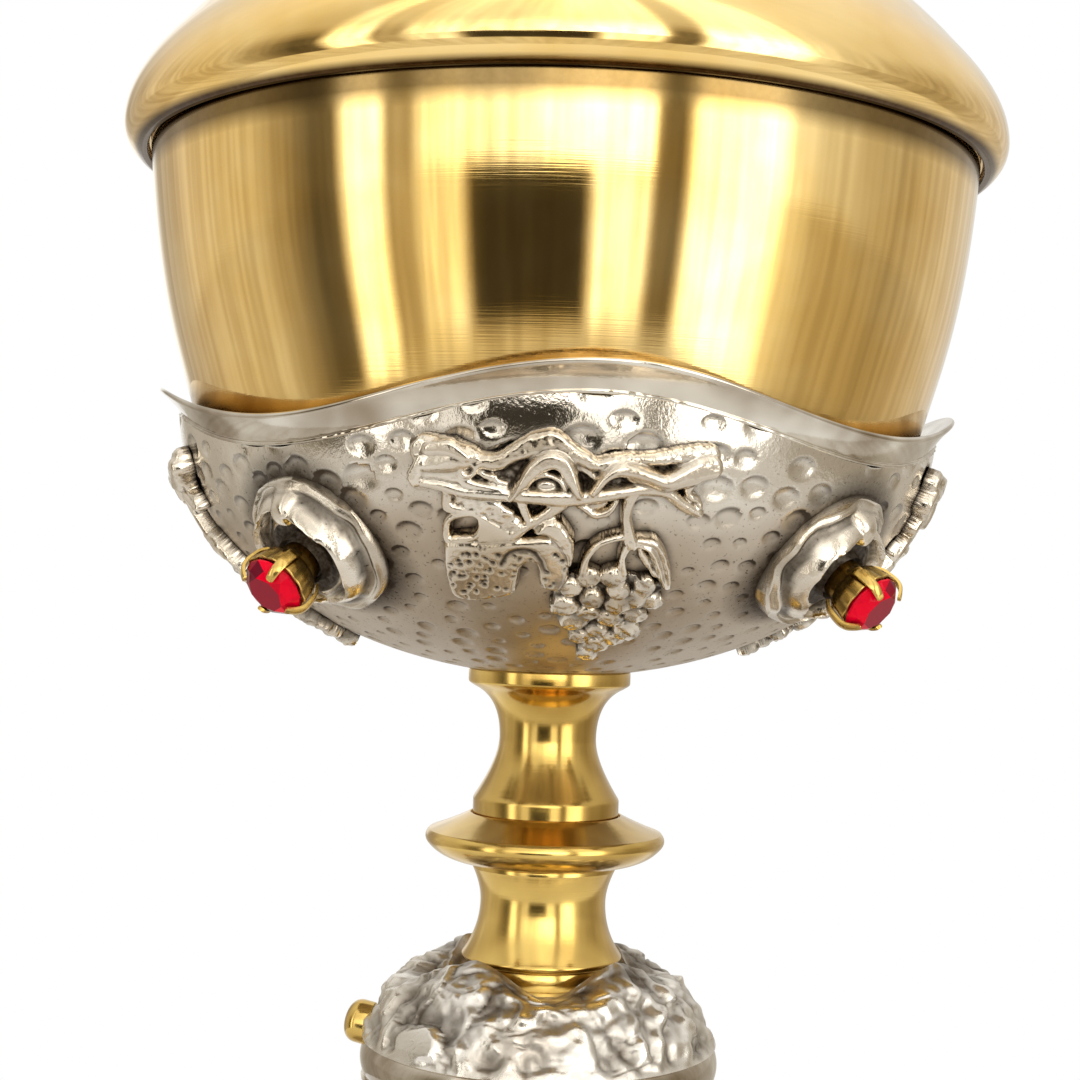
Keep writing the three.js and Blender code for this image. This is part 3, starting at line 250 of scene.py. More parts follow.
print("the room has", len(ROOM_ABOVE) + len(ROOM_BELOW), "stops of light and shade")

# %% [markdown]
# ## Floor and lamps
# The floor is a round pale sheet. Near the foot it is ordinary matt paint, so it keeps the
# object's shadow, and further out it turns into the same white as the room, so no edge shows.
# Two soft lamps give the light a direction.

# %% Pale floor
FLOOR_RADIUS, FLOOR_CORNERS, FLOOR_DROP = 0.24, 96, 0.0002
rim = [(FLOOR_RADIUS * math.cos(a), FLOOR_RADIUS * math.sin(a), -FLOOR_DROP)
       for a in np.linspace(0, 2 * math.pi, FLOOR_CORNERS, endpoint=False)]
floor_mesh = bpy.data.meshes.new("floor")
floor_mesh.from_pydata(rim, [], [list(range(FLOOR_CORNERS))])
floor = placed("floor", floor_mesh)
paint, bench, spot = new_finish("pale_floor")
fade = bench.vector("LENGTH", spot, out=1).between(0.09, 0.22)
mottled = bench.mix(bench.grain(spot, 60.0), colour(243, 241, 238), colour(249, 248, 246))
matt = bench.node("ShaderNodeBsdfDiffuse", {}, {"Color": mottled})
glow = bench.node("ShaderNodeEmission", {}, {"Color": (1, 1, 1, 1), "Strength": 1.0})
far_out = bench.rays("Camera", "Glossy", "Transmission") * fade
sheet = bench.node("ShaderNodeMixShader", {}, {0: far_out, 1: matt, 2: glow})
bench.node("ShaderNodeOutputMaterial", {}, {"Surface": sheet})
floor_mesh.materials.append(paint)
print("floor", round(2000 * FLOOR_RADIUS), "mm across")

# %% Two soft lamps
for label, place, size, power in (
    ("window_lamp", (-0.55, -0.45, 0.75), 0.45, 2.6),
    ("fill_lamp", (0.7, -0.3, 0.5), 0.5, 1.6),
):
    lamp_data = bpy.data.lights.new(label, "AREA")
    lamp_data.size = size
    lamp_data.energy = power
    lamp = placed(label, lamp_data)
    lamp.location = place
    lamp.visible_glossy = False
    lamp.rotation_euler = (Vector(place) - Vector((0, 0, 0.15))).to_track_quat("Z", "Y").to_euler()

# %% [markdown]
# ## Finishes
# There are six plain metals and a stone here, and two punched silvers come later. Gilt brass was
# polished on the lathe, so it carries fine rings. Cast and hammered silver was dipped dark and
# rubbed bright again, so the dark stays in the hollows; on gilt pieces and stones the same
# darkening is painted shade. Each piece brings a value on its points that says where. Loose
# specks, rubbed patches and scratches come from noise in the object's own coordinates.

# %% Metals
def metal(label, bright, dull, dark, gloss, wear=0.06, rings=0.0, speck=0.0, bump=0.02, fleck=900.0,
          coat=0.0, grit=0.35):
    """A metal that is bright where it was rubbed, and dark by a value on its points: patina in the hollows of
    silver, painted shade on gilt.
    """
    made, bench, spot = new_finish(label)
    clouds = bench.grain(spot, 55.0, 3.0, 0.6)
    fine = bench.grain(spot, fleck, 3.0, 0.65)
    turning = bench.grain(spot, 1.0, 2.0, 0.6, (60.0, 60.0, 5200.0))
    worn = bench.mix(clouds.between(0.3, 0.7), colour(*dull), colour(*bright))
    specks = fine.between(0.62, 0.74) * speck
    shade = (bench.patina_and_shade() * (1.0 + grit * (fine - 0.6)) + specks).at_most(1.0)
    rough = gloss + wear * (clouds - 0.5) * 2 + 0.5 * wear * turning + grit * shade
    bench.surface({
        "Base Color": bench.mix(shade, worn, colour(*dark)), "Metallic": 1.0,
        "Roughness": rough.at_least(0.04).at_most(0.9),
        "Normal": bench.dent(fine * (1.0 - rings) + turning * rings, bump),
        "Coat Weight": (1.0 - shade) * coat, "Coat IOR": 1.7, "Coat Roughness": 0.05})
    return made


gold = metal("polished_gold", (251, 216, 140), (240, 197, 106), (66, 42, 14), 0.055,
             wear=0.03, rings=0.8, bump=0.005, coat=0.55, grit=0.12)
satin_gold = metal("satin_gold", (229, 194, 108), (178, 142, 66), (60, 40, 16), 0.16,
                   wear=0.05, rings=0.7, bump=0.01, coat=0.2, grit=0.2)
cast_silver = metal("cast_silver", (230, 221, 206), (184, 168, 144), (46, 36, 26), 0.13,
                    wear=0.06, speck=0.3, bump=0.04, fleck=1700.0)
bright_silver = metal("bright_silver", (230, 223, 209), (150, 134, 112), (84, 70, 54), 0.08,
                      wear=0.06, bump=0.012)
knop_silver = metal("knop_silver", (238, 233, 224), (204, 195, 181), (88, 76, 62), 0.25,
                    wear=0.08, speck=0.2, bump=0.05, fleck=1300.0)
steel = metal("plain_steel", (176, 178, 180), (150, 152, 155), (60, 58, 56), 0.34,
              wear=0.08, rings=0.5, speck=0.2, bump=0.02)
print("metals:", [made.name for made in (gold, satin_gold, cast_silver, bright_silver, knop_silver, steel)])

# %% Red stone
stone_red, bench, spot = new_finish("red_stone")
# Painted light and shade of the facets: bright red for a lit face, wine red for a shaded one.
painted_facet_colour = bench.mix(bench.patina_and_shade(), colour(240, 4, 42), colour(98, 8, 30))
veil = bench.mix(bench.grain(spot, 900.0).between(0.45, 0.8) * 0.3, painted_facet_colour, colour(128, 6, 30))
# The emission is a faint painted glow in the stone's own red.
bench.surface({"Base Color": veil, "Roughness": 0.06 + 0.04 * bench.grain(spot, 2500.0), "IOR": 1.18,
               "Emission Color": veil, "Emission Strength": 0.1})
print("stone:", stone_red.name)

# %% [markdown]
# ## Making a piece
# Every piece is first a list of points in millimetres and a list of faces. `mesh_of` turns
# them into a mesh in metres and points the faces outwards, and `finish_piece` keeps real edges
# sharp, hangs the piece on the body it moves with and hides the measured solids it stands for.

# %% From points to a finished piece
def carry(mesh, name, values, where="POINT"):
    """Gives a mesh a named value on each of its points or faces."""
    mesh.attributes.new(name, "FLOAT", where).data.foreach_set("value", np.asarray(values, dtype=np.float32))


def mesh_of(label, points, faces, patina_and_shade=None):
    """A mesh in metres from points in millimetres, with its faces turned outwards."""
    mesh = bpy.data.meshes.new(label)
    mesh.from_pydata((np.asarray(points) * 0.001).tolist(), [], faces)
    mesh.validate()
    corners = np.array([v.co for v in mesh.vertices])
    mesh.calc_loop_triangles()
    a, b, c = (corners[spots] for spots in np.array([t.vertices for t in mesh.loop_triangles]).T)
    if np.einsum("ij,ij->i", a, np.cross(b, c)).sum() < 0:
        mesh.flip_normals()
    if patina_and_shade is not None:
        carry(mesh, "patina_and_shade", patina_and_shade)
    return mesh


def finish_piece(label, mesh, finish, body, slot, *nodes, sharp=38):
    """Makes a piece of a mesh with its finish and body, and hides the solids it stands for. The slot is not
    used.
    """
    piece = placed(label, mesh)
    mesh.materials.clear()
    mesh.materials.append(finish)
    mesh.polygons.foreach_set("use_smooth", [sharp > 0] * len(mesh.polygons))
    if sharp > 0:
        mesh.set_sharp_from_angle(angle=math.radians(sharp))
    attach(piece, body)
    if nodes:
        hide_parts(*nodes)
    mesh.calc_loop_triangles()
    print(f"{label}: {len(mesh.loop_triangles)} triangles")
    return piece


# %% [markdown]
# ## Turned metal
# Most of the piece was turned on a lathe or spun over a former, so it is a half outline swept
# round the axis. `outline` walks the half section: two numbers go straight to a radius and a
# height, and four numbers bend there past a guide point. Corners get a small round, because a
# real edge always catches a line of light.

# %% Outlines and the lathe
def outline(start, *steps, bends=18):
    """The corners and bent lines of a half section, as pairs of radius and height."""
    points = [start]
    for step in steps:
        if len(step) == 2:
            points.append(step)
        else:
            (r0, z0), (r1, z1, r2, z2) = points[-1], step
            for t in np.linspace(0, 1, bends + 1)[1:]:
                points.append(((1 - t) ** 2 * r0 + 2 * t * (1 - t) * r1 + t * t * r2,
                               (1 - t) ** 2 * z0 + 2 * t * (1 - t) * z1 + t * t * z2))
    return points


def eased(points, size, closed=True):
    """Rounds each real corner of an outline with a small arc."""
    made = []
    count = len(points)
    for i, here in enumerate(points):
        here = np.array(here, float)
        if not closed and i in (0, count - 1):
            made.append(tuple(here))
            continue
        before, after = np.array(points[i - 1], float) - here, np.array(points[(i + 1) % count], float) - here
        near, far = np.linalg.norm(before), np.linalg.norm(after)
        if near < 1e-6 or far < 1e-6:
            continue
        bend = math.degrees(math.acos(np.clip(-before @ after / near / far, -1, 1)))
        if bend < 20 or here[0] < 1e-6:
            made.append(tuple(here))
            continue
        cut = min(size, 0.45 * near, 0.45 * far)
        p, q = here + before / near * cut, here + after / far * cut
        for t in np.linspace(0, 1, 5):
            made.append(tuple((1 - t) ** 2 * p + 2 * t * (1 - t) * here + t * t * q))
    return made


def swept(points, sides, closed=True):
    """Points and faces of an outline swept round the axis. The angle runs from the front towards +X."""
    turn = np.linspace(0, 2 * math.pi, sides, endpoint=False)
    made, rings = [], []
    for r, z in points:
        if r < 1e-6:
            rings.append([len(made)])
            made.append((0.0, 0.0, z))
        else:
            rings.append(list(range(len(made), len(made) + sides)))
            made.extend(zip(r * np.sin(turn), -r * np.cos(turn), [z] * sides))
    faces = []
    pairs = list(zip(rings, rings[1:])) + ([(rings[-1], rings[0])] if closed else [])
    for low, high in pairs:
        if len(low) == 1 and len(high) == 1:
            continue
        for i in range(sides):
            j = (i + 1) % sides
            if len(low) == 1:
                faces.append((low[0], high[j], high[i]))
            elif len(high) == 1:
                faces.append((low[i], low[j], high[0]))
            else:
                faces.append((low[i], low[j], high[j], high[i]))
    return np.array(made), faces


def round_axis(points):
    """How far each point is from the axis, and its turn from the front towards +X."""
    return np.hypot(points[:, 0], points[:, 1]), np.arctan2(points[:, 0], -points[:, 1])


def moved(points, out, up=0.0):
    """The points moved away from the axis and upwards."""
    radius = round_axis(points)[0]
    scale = (radius + out) / np.maximum(radius, 1e-6)
    return np.stack([points[:, 0] * scale, points[:, 1] * scale, points[:, 2] + up], axis=-1)


def turned(label, points, finish, body, slot, *nodes, sides=192, ease=0.35, patina_and_shade=None, warp=None):
    """A piece from the lathe. Its outline may be open only where it begins on the axis."""
    points = eased(points, ease, points[0][0] > 1e-6)
    made, faces = swept(points, sides, points[0][0] > 1e-6)
    if warp:
        made = warp(made)
    shade = patina_and_shade(made) if patina_and_shade else np.zeros(len(made))
    return finish_piece(label, mesh_of(label, made, faces, shade), finish, body, slot, *nodes)


print("a straight washer has", len(eased(outline((3, 0), (9, 0), (9, 1), (3, 1)), 0.2)),
      "points in its section")

# %% [markdown]
# ## Levels
# The pieces stand on each other, so each level is the one below plus a height. The same sums
# made the measured solids.

# %% Levels from the table up
CUP_RADIUS, CUP_DEPTH, CUP_WALL, CUP_TAPER, CUP_FULLNESS = 55.0, 65.0, 1.2, 0.085, 2.6
CALYX_HEIGHT, CALYX_WALL, CALYX_SEAT_RADIUS, LOBES, WAVE, SEAM_DROP = 33.1, 1.2, 11.4, 4, 2.9, 3.8
BASE_RADIUS, BASE_DEPTH, BASE_WALL, BASE_TOP_RADIUS = 60.5, 36.0, 1.4, 12
FOOT_RING_RADIUS, FOOT_RING_HEIGHT, COLLAR_HEIGHT, FOOT_WAIST_HEIGHT = 65.0, 4.6, 3.5, 30.6
KNOP_RADIUS, KNOP_HALF_HEIGHT, KNOP_SEAT, KNOP_BAND_HEIGHT = 24.0, 17.6, 10.3, 5.0
RING_HEIGHT, LOW_WAIST_HEIGHT, DISC_HEIGHT, NECK_HEIGHT = 2.6, 13, 6, 19.9
BORE, STUD_BORE, NUT_BORE, PIN_BORE = 3.4, 5.0, 3.12, 2.12
SCREW_FLANGE, WASHER_HEIGHT, LID_GAP, LID_WALL = 1, 1.2, 0.2, 1.2

collar_z = FOOT_RING_HEIGHT + BASE_DEPTH * math.sqrt(1 - (BASE_TOP_RADIUS / BASE_RADIUS) ** 2)
foot_z = collar_z + COLLAR_HEIGHT
lower_ring_z = foot_z + FOOT_WAIST_HEIGHT
knop_z = lower_ring_z + RING_HEIGHT + KNOP_SEAT
upper_ring_z = knop_z + KNOP_SEAT
stem_lower_z = upper_ring_z + RING_HEIGHT
disc_z = stem_lower_z + LOW_WAIST_HEIGHT
stem_upper_z = disc_z + DISC_HEIGHT
seat_z = stem_upper_z + NECK_HEIGHT
cup_z = seat_z + CALYX_WALL + SCREW_FLANGE
rim_z = cup_z + CUP_DEPTH
lid_z = rim_z + LID_GAP
calyx_z = seat_z + CALYX_HEIGHT
seam_z = calyx_z - SEAM_DROP


def cup_radius(below, wall=0.0):
    """The cup's radius so many millimetres below its rim, outside or inside its wall."""
    share = below / (CUP_DEPTH - wall)
    return (CUP_RADIUS - wall - CUP_TAPER * below) * (1 - share ** CUP_FULLNESS) ** (1 / CUP_FULLNESS)


def wave(turn):
    """How far the silver rim stands above its middle level at each turn."""
    return WAVE * np.cos(LOBES * turn)


calyx_widest = cup_radius(rim_z - calyx_z) + 0.9 + CALYX_WALL
calyx_depth = CALYX_HEIGHT / math.sqrt(1 - (CALYX_SEAT_RADIUS / calyx_widest) ** 2)
print("the calyx is", round(2 * calyx_widest, 1), "mm across at its widest")

# %% [markdown]
# ## Cup
# The cup is one spun bowl, gilt inside and out. Its wall draws in a little on the way down and
# then turns under in one full curve. Points lie closer together where it curves most, and near
# the rim, where the lid's shade begins. The photograph shows it a little fuller just above the
# silver rim than the measured solid is, so it swells there by less than a millimetre.

# %% The gilt cup
SWELL, SWELL_LEVEL, SWELL_SPREAD = 0.7, 166.5, 6.5


def cup_wall(wall, steps=56):
    """The wall's line from the rim down, outside where the wall is 0 and otherwise inside."""
    even = (CUP_DEPTH - wall) * np.sin(math.pi / 2 * np.arange(steps) / steps)
    lows = [0.0, 1.0, 2.0, 2.7, 3.2, 3.7, 4.2, 4.9] + [low for low in even if low > 5]
    swell = SWELL if wall == 0 else 0.0
    return [(cup_radius(low, wall) + swell * math.exp(-((rim_z - low - SWELL_LEVEL) / SWELL_SPREAD) ** 2),
             rim_z - low) for low in lows]


def cup_shade(points):
    """Painted shade under the lid's lip, and a painted shadow line just above the silver rim."""
    radius, turn = round_axis(points)
    z = points[:, 2]
    outer = radius > cup_radius(np.clip(rim_z - z, 0, CUP_DEPTH - 1)) - 0.5
    over_band = z - (seam_z + 2.9 + wave(turn))
    return outer * (0.8 * np.clip((z - rim_z + 4.9) / 2.2, 0, 1)
                    + 0.75 * np.exp(-np.maximum(over_band, 0) / 1.1))


turned("cup", [(0, cup_z), *cup_wall(0.0)[::-1], *cup_wall(CUP_WALL), (0, cup_z + CUP_WALL)],
       gold, "vessel", "gold", "cup_bowl", sides=256, ease=0.4, patina_and_shade=cup_shade)
turned("cup_screw", outline((NUT_BORE, cup_z - 12), (4.2, cup_z - 12), (4.6, cup_z - 11.6), (4.6, cup_z - 1),
                            (7.5, cup_z - 1), (7.5, cup_z), (0, cup_z), (0, cup_z - 2),
                            (NUT_BORE, cup_z - 2)),
       steel, "vessel", "steel", "cup_stud", sides=96, ease=0.2)

# %% [markdown]
# ## Laying things on the calyx
# The calyx is part of an oval turned round the axis. Castings are drawn flat, in millimetres
# aside of the middle and down along the skin, and then laid on it. A table of lengths along the
# oval says how far round it each millimetre down reaches.

# %% The calyx's skin
skin_angle = np.linspace(0, 1.45, 600)
skin_step = np.hypot(calyx_widest * np.sin(skin_angle), calyx_depth * np.cos(skin_angle))
skin_down = np.concatenate([[0], np.cumsum((skin_step[1:] + skin_step[:-1]) / 2 * np.diff(skin_angle))])


def on_calyx(aside, down, lift):
    """Points on the calyx from flat drawings: aside of the front, down the skin, and out of it."""
    angle = np.interp(down, skin_down, skin_angle)
    ring = calyx_widest * np.cos(angle)
    out, up = calyx_depth * np.cos(angle), -calyx_widest * np.sin(angle)
    size = np.hypot(out, up)
    radius = ring + lift * out / size
    return np.stack([radius * np.sin(aside / ring), -radius * np.cos(aside / ring),
                     calyx_z - calyx_depth * np.sin(angle) + lift * up / size], axis=-1)


def spun(points, degrees):
    """The same points turned round the axis."""
    c, s = math.cos(math.radians(degrees)), math.sin(math.radians(degrees))
    x, y, z = np.asarray(points).T
    return np.stack([c * x - s * y, s * x + c * y, z], axis=-1)


print("the skin is",
      round(float(np.interp(math.acos(CALYX_SEAT_RADIUS / calyx_widest), skin_angle, skin_down)), 1),
      "mm long from its widest level to its seat")

# %% [markdown]
# ## Vine casting
# Each casting shows a bough across the top, a broken loaf on the left and a bunch of grapes on
# the right. It could be sculpted, but it is really a low relief, so a drawing of heights is
# enough: every part is a stroke or an outline with a height and a rounded edge, and the highest
# one wins. The drawing is then softened like worn silver, trimmed at its outline, given a back,
# and bent to the calyx.

# %% Drawing board
CELL = 0.15
board_x = np.arange(-21.0, 15.0, CELL)
board_y = np.arange(3.6, 41.6, CELL)
X, Y = np.meshgrid(board_x, board_y, indexing="ij")
rng = np.random.default_rng(7)


def flowing(points, steps=7, ring=False):
    """A smooth line through a few drawn points."""
    p = np.array(points, float)
    count = len(p)
    made = []
    for i in range(count if ring else count - 1):
        if ring:
            a, b, c, d = p[i - 1], p[i], p[(i + 1) % count], p[(i + 2) % count]
        else:
            b, c = p[i], p[i + 1]
            a, d = (p[i - 1] if i else 2 * b - c), (p[i + 2] if i + 2 < count else 2 * c - b)
        for t in np.arange(steps) / steps:
            made.append(0.5 * (2 * b + (c - a) * t + (2 * a - 5 * b + 4 * c - d) * t * t
                               + (3 * b - a - 3 * c + d) * t ** 3))
    return np.array(made if ring else made + [p[-1]])


def to_line(line, widths=None, ring=False):
    """Distance of every spot on the board from a line, and the line's half width beside it."""
    ends = np.roll(line, -1, axis=0) if ring else line[1:]
    starts = line if ring else line[:-1]
    near = np.full(X.shape, 1e9)
    beside = np.zeros(X.shape)
    for i, (a, b) in enumerate(zip(starts, ends)):
        along = b - a
        t = np.clip(((X - a[0]) * along[0] + (Y - a[1]) * along[1]) / max(along @ along, 1e-9), 0, 1)
        away = np.hypot(X - a[0] - t * along[0], Y - a[1] - t * along[1])
        closer = away < near
        near[closer] = away[closer]
        if widths is not None:
            share = (i + t) / len(starts) * (len(widths) - 1)
            beside[closer] = np.interp(share, range(len(widths)), widths)[closer] / 2
    return near, beside


def inside_of(line):
    """Distance into a closed outline: more than nothing inside it, less outside."""
    near, _ = to_line(line, ring=True)
    hit = np.zeros(X.shape, bool)
    for a, b in zip(line, np.roll(line, -1, axis=0)):
        crosses = (a[1] > Y) != (b[1] > Y)
        if a[1] != b[1]:
            hit ^= crosses & (X < (b[0] - a[0]) * (Y - a[1]) / (b[1] - a[1]) + a[0])
    return np.where(hit, near, -near)


def bumps(x, y, size, seed=0.0):
    """Smooth random bumps between about -1 and 1."""
    flat = [noise.noise(Vector((u / size, v / size, seed))) for u, v in zip(x.ravel(), y.ravel())]
    return np.array(flat).reshape(x.shape)


rough = bumps(X, Y, 0.9) + 0.6 * bumps(X, Y, 0.42, 5.0)
print("drawing board of", X.shape, "spots,", CELL, "mm apart")

# %% Strokes, plates and beads
depth_in = np.full(X.shape, -9.0)
height = np.zeros(X.shape)
pit = np.zeros(X.shape)


def lay(inside, top, edge=0.6, wall=0.45, rise=None):
    """Adds a form to the drawing: how far inside it each spot is, and how high it stands."""
    global depth_in, height
    share = np.clip(inside / edge, 0, 1)
    form = top * (wall + (1 - wall) * np.sqrt(1 - (1 - share) ** 2)) + (0 if rise is None else rise)
    height = np.where(inside > 0, np.maximum(height, form), height)
    depth_in = np.maximum(depth_in, inside)


def stroke(points, widths, top, edge=None, wall=0.45, wobble=0.0, groove=0.0):
    """A limb along a drawn line, with a width at each point and perhaps a groove along its middle."""
    widths = np.atleast_1d(np.array(widths, float)) * 1.22 + 0.18
    near, half = to_line(flowing(points), widths if len(widths) > 1 else np.repeat(widths, 2))
    inside = half - near + wobble * rough
    rise = wobble * 0.8 * rough - groove * np.exp(-(near / 0.28) ** 2)
    lay(inside, top, edge or 0.62 * float(np.max(half[np.abs(inside) < 1], initial=0.6)), wall, rise)


def plate(points, top, edge=0.5, wall=0.5, rise=None):
    """A flat form inside a drawn outline."""
    lay(inside_of(flowing(points, ring=True)), top, edge, wall, rise)


def loop(points, half, top):
    """A thin closed tendril."""
    near, _ = to_line(flowing(points, ring=True))
    lay(half - near, top, 0.4)


def bead(x, y, wide, tall, top, base=0.5, crumple=0.0):
    """A round form such as a grape."""
    u, v = (X - x) / wide, (Y - y) / tall
    away = np.hypot(u, v) + 0.12 * crumple * rough
    lay(np.where(away < 1, (1 - away) * min(wide, tall), -9), top, min(wide, tall), 0.25,
        (base + crumple * 0.3 * rough) * (away < 1))


# The ground behind the bough: low, dark and rough.
plate([(-18.4, 7.4), (-13.5, 7.6), (-9.6, 8.6), (-4.6, 6.6), (0.5, 8.4), (8.6, 7.6), (12.6, 7.4), (11.8, 9.2),
       (6.0, 10.4), (2.4, 11.4), (-3.0, 12.2), (-8.0, 12.2), (-13.6, 12.0), (-18.4, 10.8)], 0.75, 0.3, 0.8,
      0.22 * rough)
# The wavy upper edge, like torn bark, and the bough with its limbs.
stroke([(-18.2, 7.1), (-16.1, 7.3), (-13.6, 7.6), (-12.0, 8.3), (-10.0, 8.4), (-8.2, 7.4), (-6.4, 6.6),
        (-4.4, 6.1), (-2.8, 6.9), (-1.0, 7.8), (0.6, 8.4), (3.0, 7.8), (6.4, 7.6), (9.0, 7.2), (11.4, 6.8),
        (12.9, 6.9)],
       [2.6, 2.4, 1.7, 1.4, 1.5, 1.6, 2.1, 2.2, 1.7, 1.4, 1.2, 1.1, 1.2, 1.4, 1.5, 2.0], 2.0, 0.8, 0.4, 0.07)
stroke([(-17.4, 6.9), (-15.2, 6.8), (-13.2, 7.8)], [1.2, 1.5, 1.0], 2.5)
stroke([(-19.0, 10.5), (-16.0, 11.0), (-13.2, 11.7), (-8.0, 12.0), (-3.0, 12.2), (0.4, 11.9), (4.6, 11.0),
        (6.6, 10.8), (8.4, 11.1), (10.1, 12.2), (12.2, 13.3)],
       [1.0, 1.2, 1.2, 1.3, 1.6, 1.3, 1.2, 1.3, 1.2, 1.0, 0.9], 2.1, 0.75, 0.35)
plate([(-18.8, 6.6), (-16.4, 6.3), (-14.0, 7.2), (-12.2, 8.4), (-13.2, 9.5), (-15.6, 9.9), (-18.6, 9.3)],
      2.35, 1.2, 0.35, 0.16 * np.sin(1.9 * Y + 0.5 * X))
stroke([(-18.4, 8.1), (-19.0, 9.8), (-18.9, 10.6)], [1.0, 1.5, 0.9], 2.3, 0.5)
stroke([(-17.6, 9.1), (-16.2, 9.3), (-14.5, 9.8)], [1.9, 1.7, 1.5], 1.9, 0.5)
stroke([(-14.4, 9.7), (-13.0, 10.8), (-9.0, 11.6), (-8.0, 12.0)], [0.7, 0.9, 0.8, 0.6], 1.9)
stroke([(12.9, 7.9), (11.4, 8.3), (9.5, 9.1), (7.9, 9.7), (6.0, 9.2), (3.3, 8.6), (1.6, 9.3), (0.2, 11.2)],
       [2.2, 2.1, 1.6, 1.5, 1.4, 1.5, 1.1, 0.8], 2.9, None, 0.35)
plate([(3.0, 8.1), (5.6, 8.5), (7.9, 8.9), (9.5, 8.0), (11.6, 7.0), (13.3, 7.0), (13.5, 8.6), (12.0, 9.9),
       (9.8, 10.7), (7.8, 11.1), (5.8, 10.5), (3.6, 9.9)], 2.75, 1.3, 0.3)
stroke([(-8.4, 12.3), (-7.3, 10.5), (-6.2, 9.0), (-4.7, 8.0), (-3.2, 8.2), (-2.2, 9.6), (-1.2, 11.6)],
       [0.5, 1.1, 1.5, 1.7, 1.6, 1.4, 0.8], 2.7, None, 0.35)
stroke([(-6.8, 10.9), (-6.0, 9.9), (-4.7, 9.5), (-3.4, 10.0), (-2.7, 11.0)], [0.45, 0.5, 0.5, 0.5, 0.45], 2.2)
bead(-4.7, 10.9, 1.3, 0.7, 0.9)
loop([(-13.9, 9.0), (-13.1, 8.3), (-12.3, 8.9), (-12.8, 9.8), (-13.6, 9.7)], 0.42, 2.1)
stroke([(-12.2, 9.2), (-10.6, 10.2), (-9.0, 10.8)], [0.5, 0.8, 0.4], 1.5, wobble=0.18)
stroke([(-1.6, 8.6), (0.2, 9.6), (1.0, 10.4)], [0.8, 0.6, 0.4], 1.5, wobble=0.14)
print("highest spot so far:", round(float(height.max()), 2), "mm")

# %% The loaf, its ties and the bunch
PORES = 190

# The ties that hold the loaf under the bough.
stroke([(-15.4, 12.0), (-15.3, 13.4), (-13.9, 13.9), (-12.4, 13.9)], [0.9, 1.0, 0.9, 0.7], 1.8, 0.4)
stroke([(-14.0, 12.6), (-11.4, 13.3), (-9.5, 14.3), (-7.9, 15.6), (-7.4, 16.4)], [1.1, 1.8, 1.9, 1.5, 0.8],
       1.7, wobble=0.2)
loop([(-15.2, 15.2), (-13.8, 14.4), (-11.9, 14.4), (-11.4, 15.8), (-12.1, 17.2), (-13.7, 17.5),
      (-15.2, 17.5)], 0.5, 1.8)
plate([(-11.9, 14.1), (-9.8, 15.2), (-7.6, 16.8), (-8.8, 17.8), (-11.8, 17.8), (-11.3, 15.8)], 1.8, 0.35)
stroke([(-7.5, 12.1), (-6.9, 13.6), (-6.2, 15.2)], [0.8, 0.8, 0.6], 1.9)
stroke([(-2.8, 12.6), (-4.5, 14.2), (-6.4, 15.6), (-8.0, 17.0)], [1.5, 1.1, 0.9, 1.2], 1.9)
# The broken loaf, pricked with pores.
loaf = [(-15.5, 17.8), (-15.6, 20.2), (-15.1, 23.4), (-14.3, 25.9), (-12.1, 26.8), (-8.9, 26.2), (-7.1, 25.1),
        (-6.9, 23.7), (-6.8, 22.0), (-6.5, 20.9), (-5.8, 20.4), (-5.1, 21.0), (-4.7, 23.2), (-4.3, 24.3),
        (-3.2, 24.7), (-2.1, 24.5), (-1.5, 22.8), (-1.5, 20.3), (-1.8, 18.2), (-2.7, 17.2), (-4.3, 16.8),
        (-6.2, 17.1), (-8.0, 17.2), (-10.9, 17.6), (-13.7, 17.5)]
plate(loaf, 2.1, 0.9, 0.4, 0.08 * bumps(X, Y, 2.6, 4.0))
in_loaf = inside_of(flowing(loaf, ring=True))
for _ in range(PORES):
    x, y = rng.uniform(-15, -2), rng.uniform(18, 26.4)
    crowd = 0.5 + 0.5 * noise.noise(Vector((x / 2.2, y / 2.2, 3.0)))
    if rng.random() < crowd:
        wide, tall = rng.uniform(0.16, 0.5), rng.uniform(0.14, 0.34)
        tilt = rng.uniform(0, math.pi)
        u, v = X - x, Y - y
        u, v = u * math.cos(tilt) + v * math.sin(tilt), v * math.cos(tilt) - u * math.sin(tilt)
        away = np.hypot(u / wide, v / tall) + 0.25 * rough
        pit = np.maximum(pit, np.clip(1.15 - away, 0, 1) * (in_loaf > 0.35))
near, _ = to_line(flowing([(-8.9, 20.4), (-8.4, 19.2), (-7.3, 18.5), (-5.8, 18.6), (-4.8, 19.7),
                           (-4.2, 21.3)]))
pit = np.maximum(pit, np.exp(-(near / 0.3) ** 2) * 0.8)
height -= 0.3 * np.clip(pit * 1.3, 0, 1)
# Twigs, the bunch's stalk, tendrils and leaves.
stroke([(-5.2, 15.9), (-4.0, 15.5), (-2.7, 16.5), (-1.8, 18.3), (-1.6, 20.2)], [0.8, 1.9, 1.7, 1.1, 0.4], 2.6,
       wobble=0.08)
stroke([(-1.6, 12.7), (-0.5, 13.3), (0.8, 14.1), (2.2, 13.6), (2.9, 12.4)], [0.5, 0.6, 0.7, 0.6, 0.4], 1.7)
stroke([(-0.6, 12.6), (0.6, 13.0), (1.8, 12.6)], [0.4, 0.8, 0.4], 1.4, wobble=0.2)
stroke([(4.8, 11.0), (4.2, 12.5), (4.1, 14.0), (4.4, 15.5), (4.8, 17.1), (5.2, 17.8)],
       [1.0, 0.9, 0.8, 1.0, 1.3, 0.8], 2.1, groove=0.1)
stroke([(4.6, 16.4), (2.7, 17.0), (1.3, 17.8), (0.3, 19.6), (0.0, 21.8)], [0.6, 0.6, 0.6, 0.6, 0.7], 1.9)
stroke([(4.7, 17.4), (4.2, 19.4), (4.5, 21.6)], [0.8, 0.6, 0.8], 1.9)
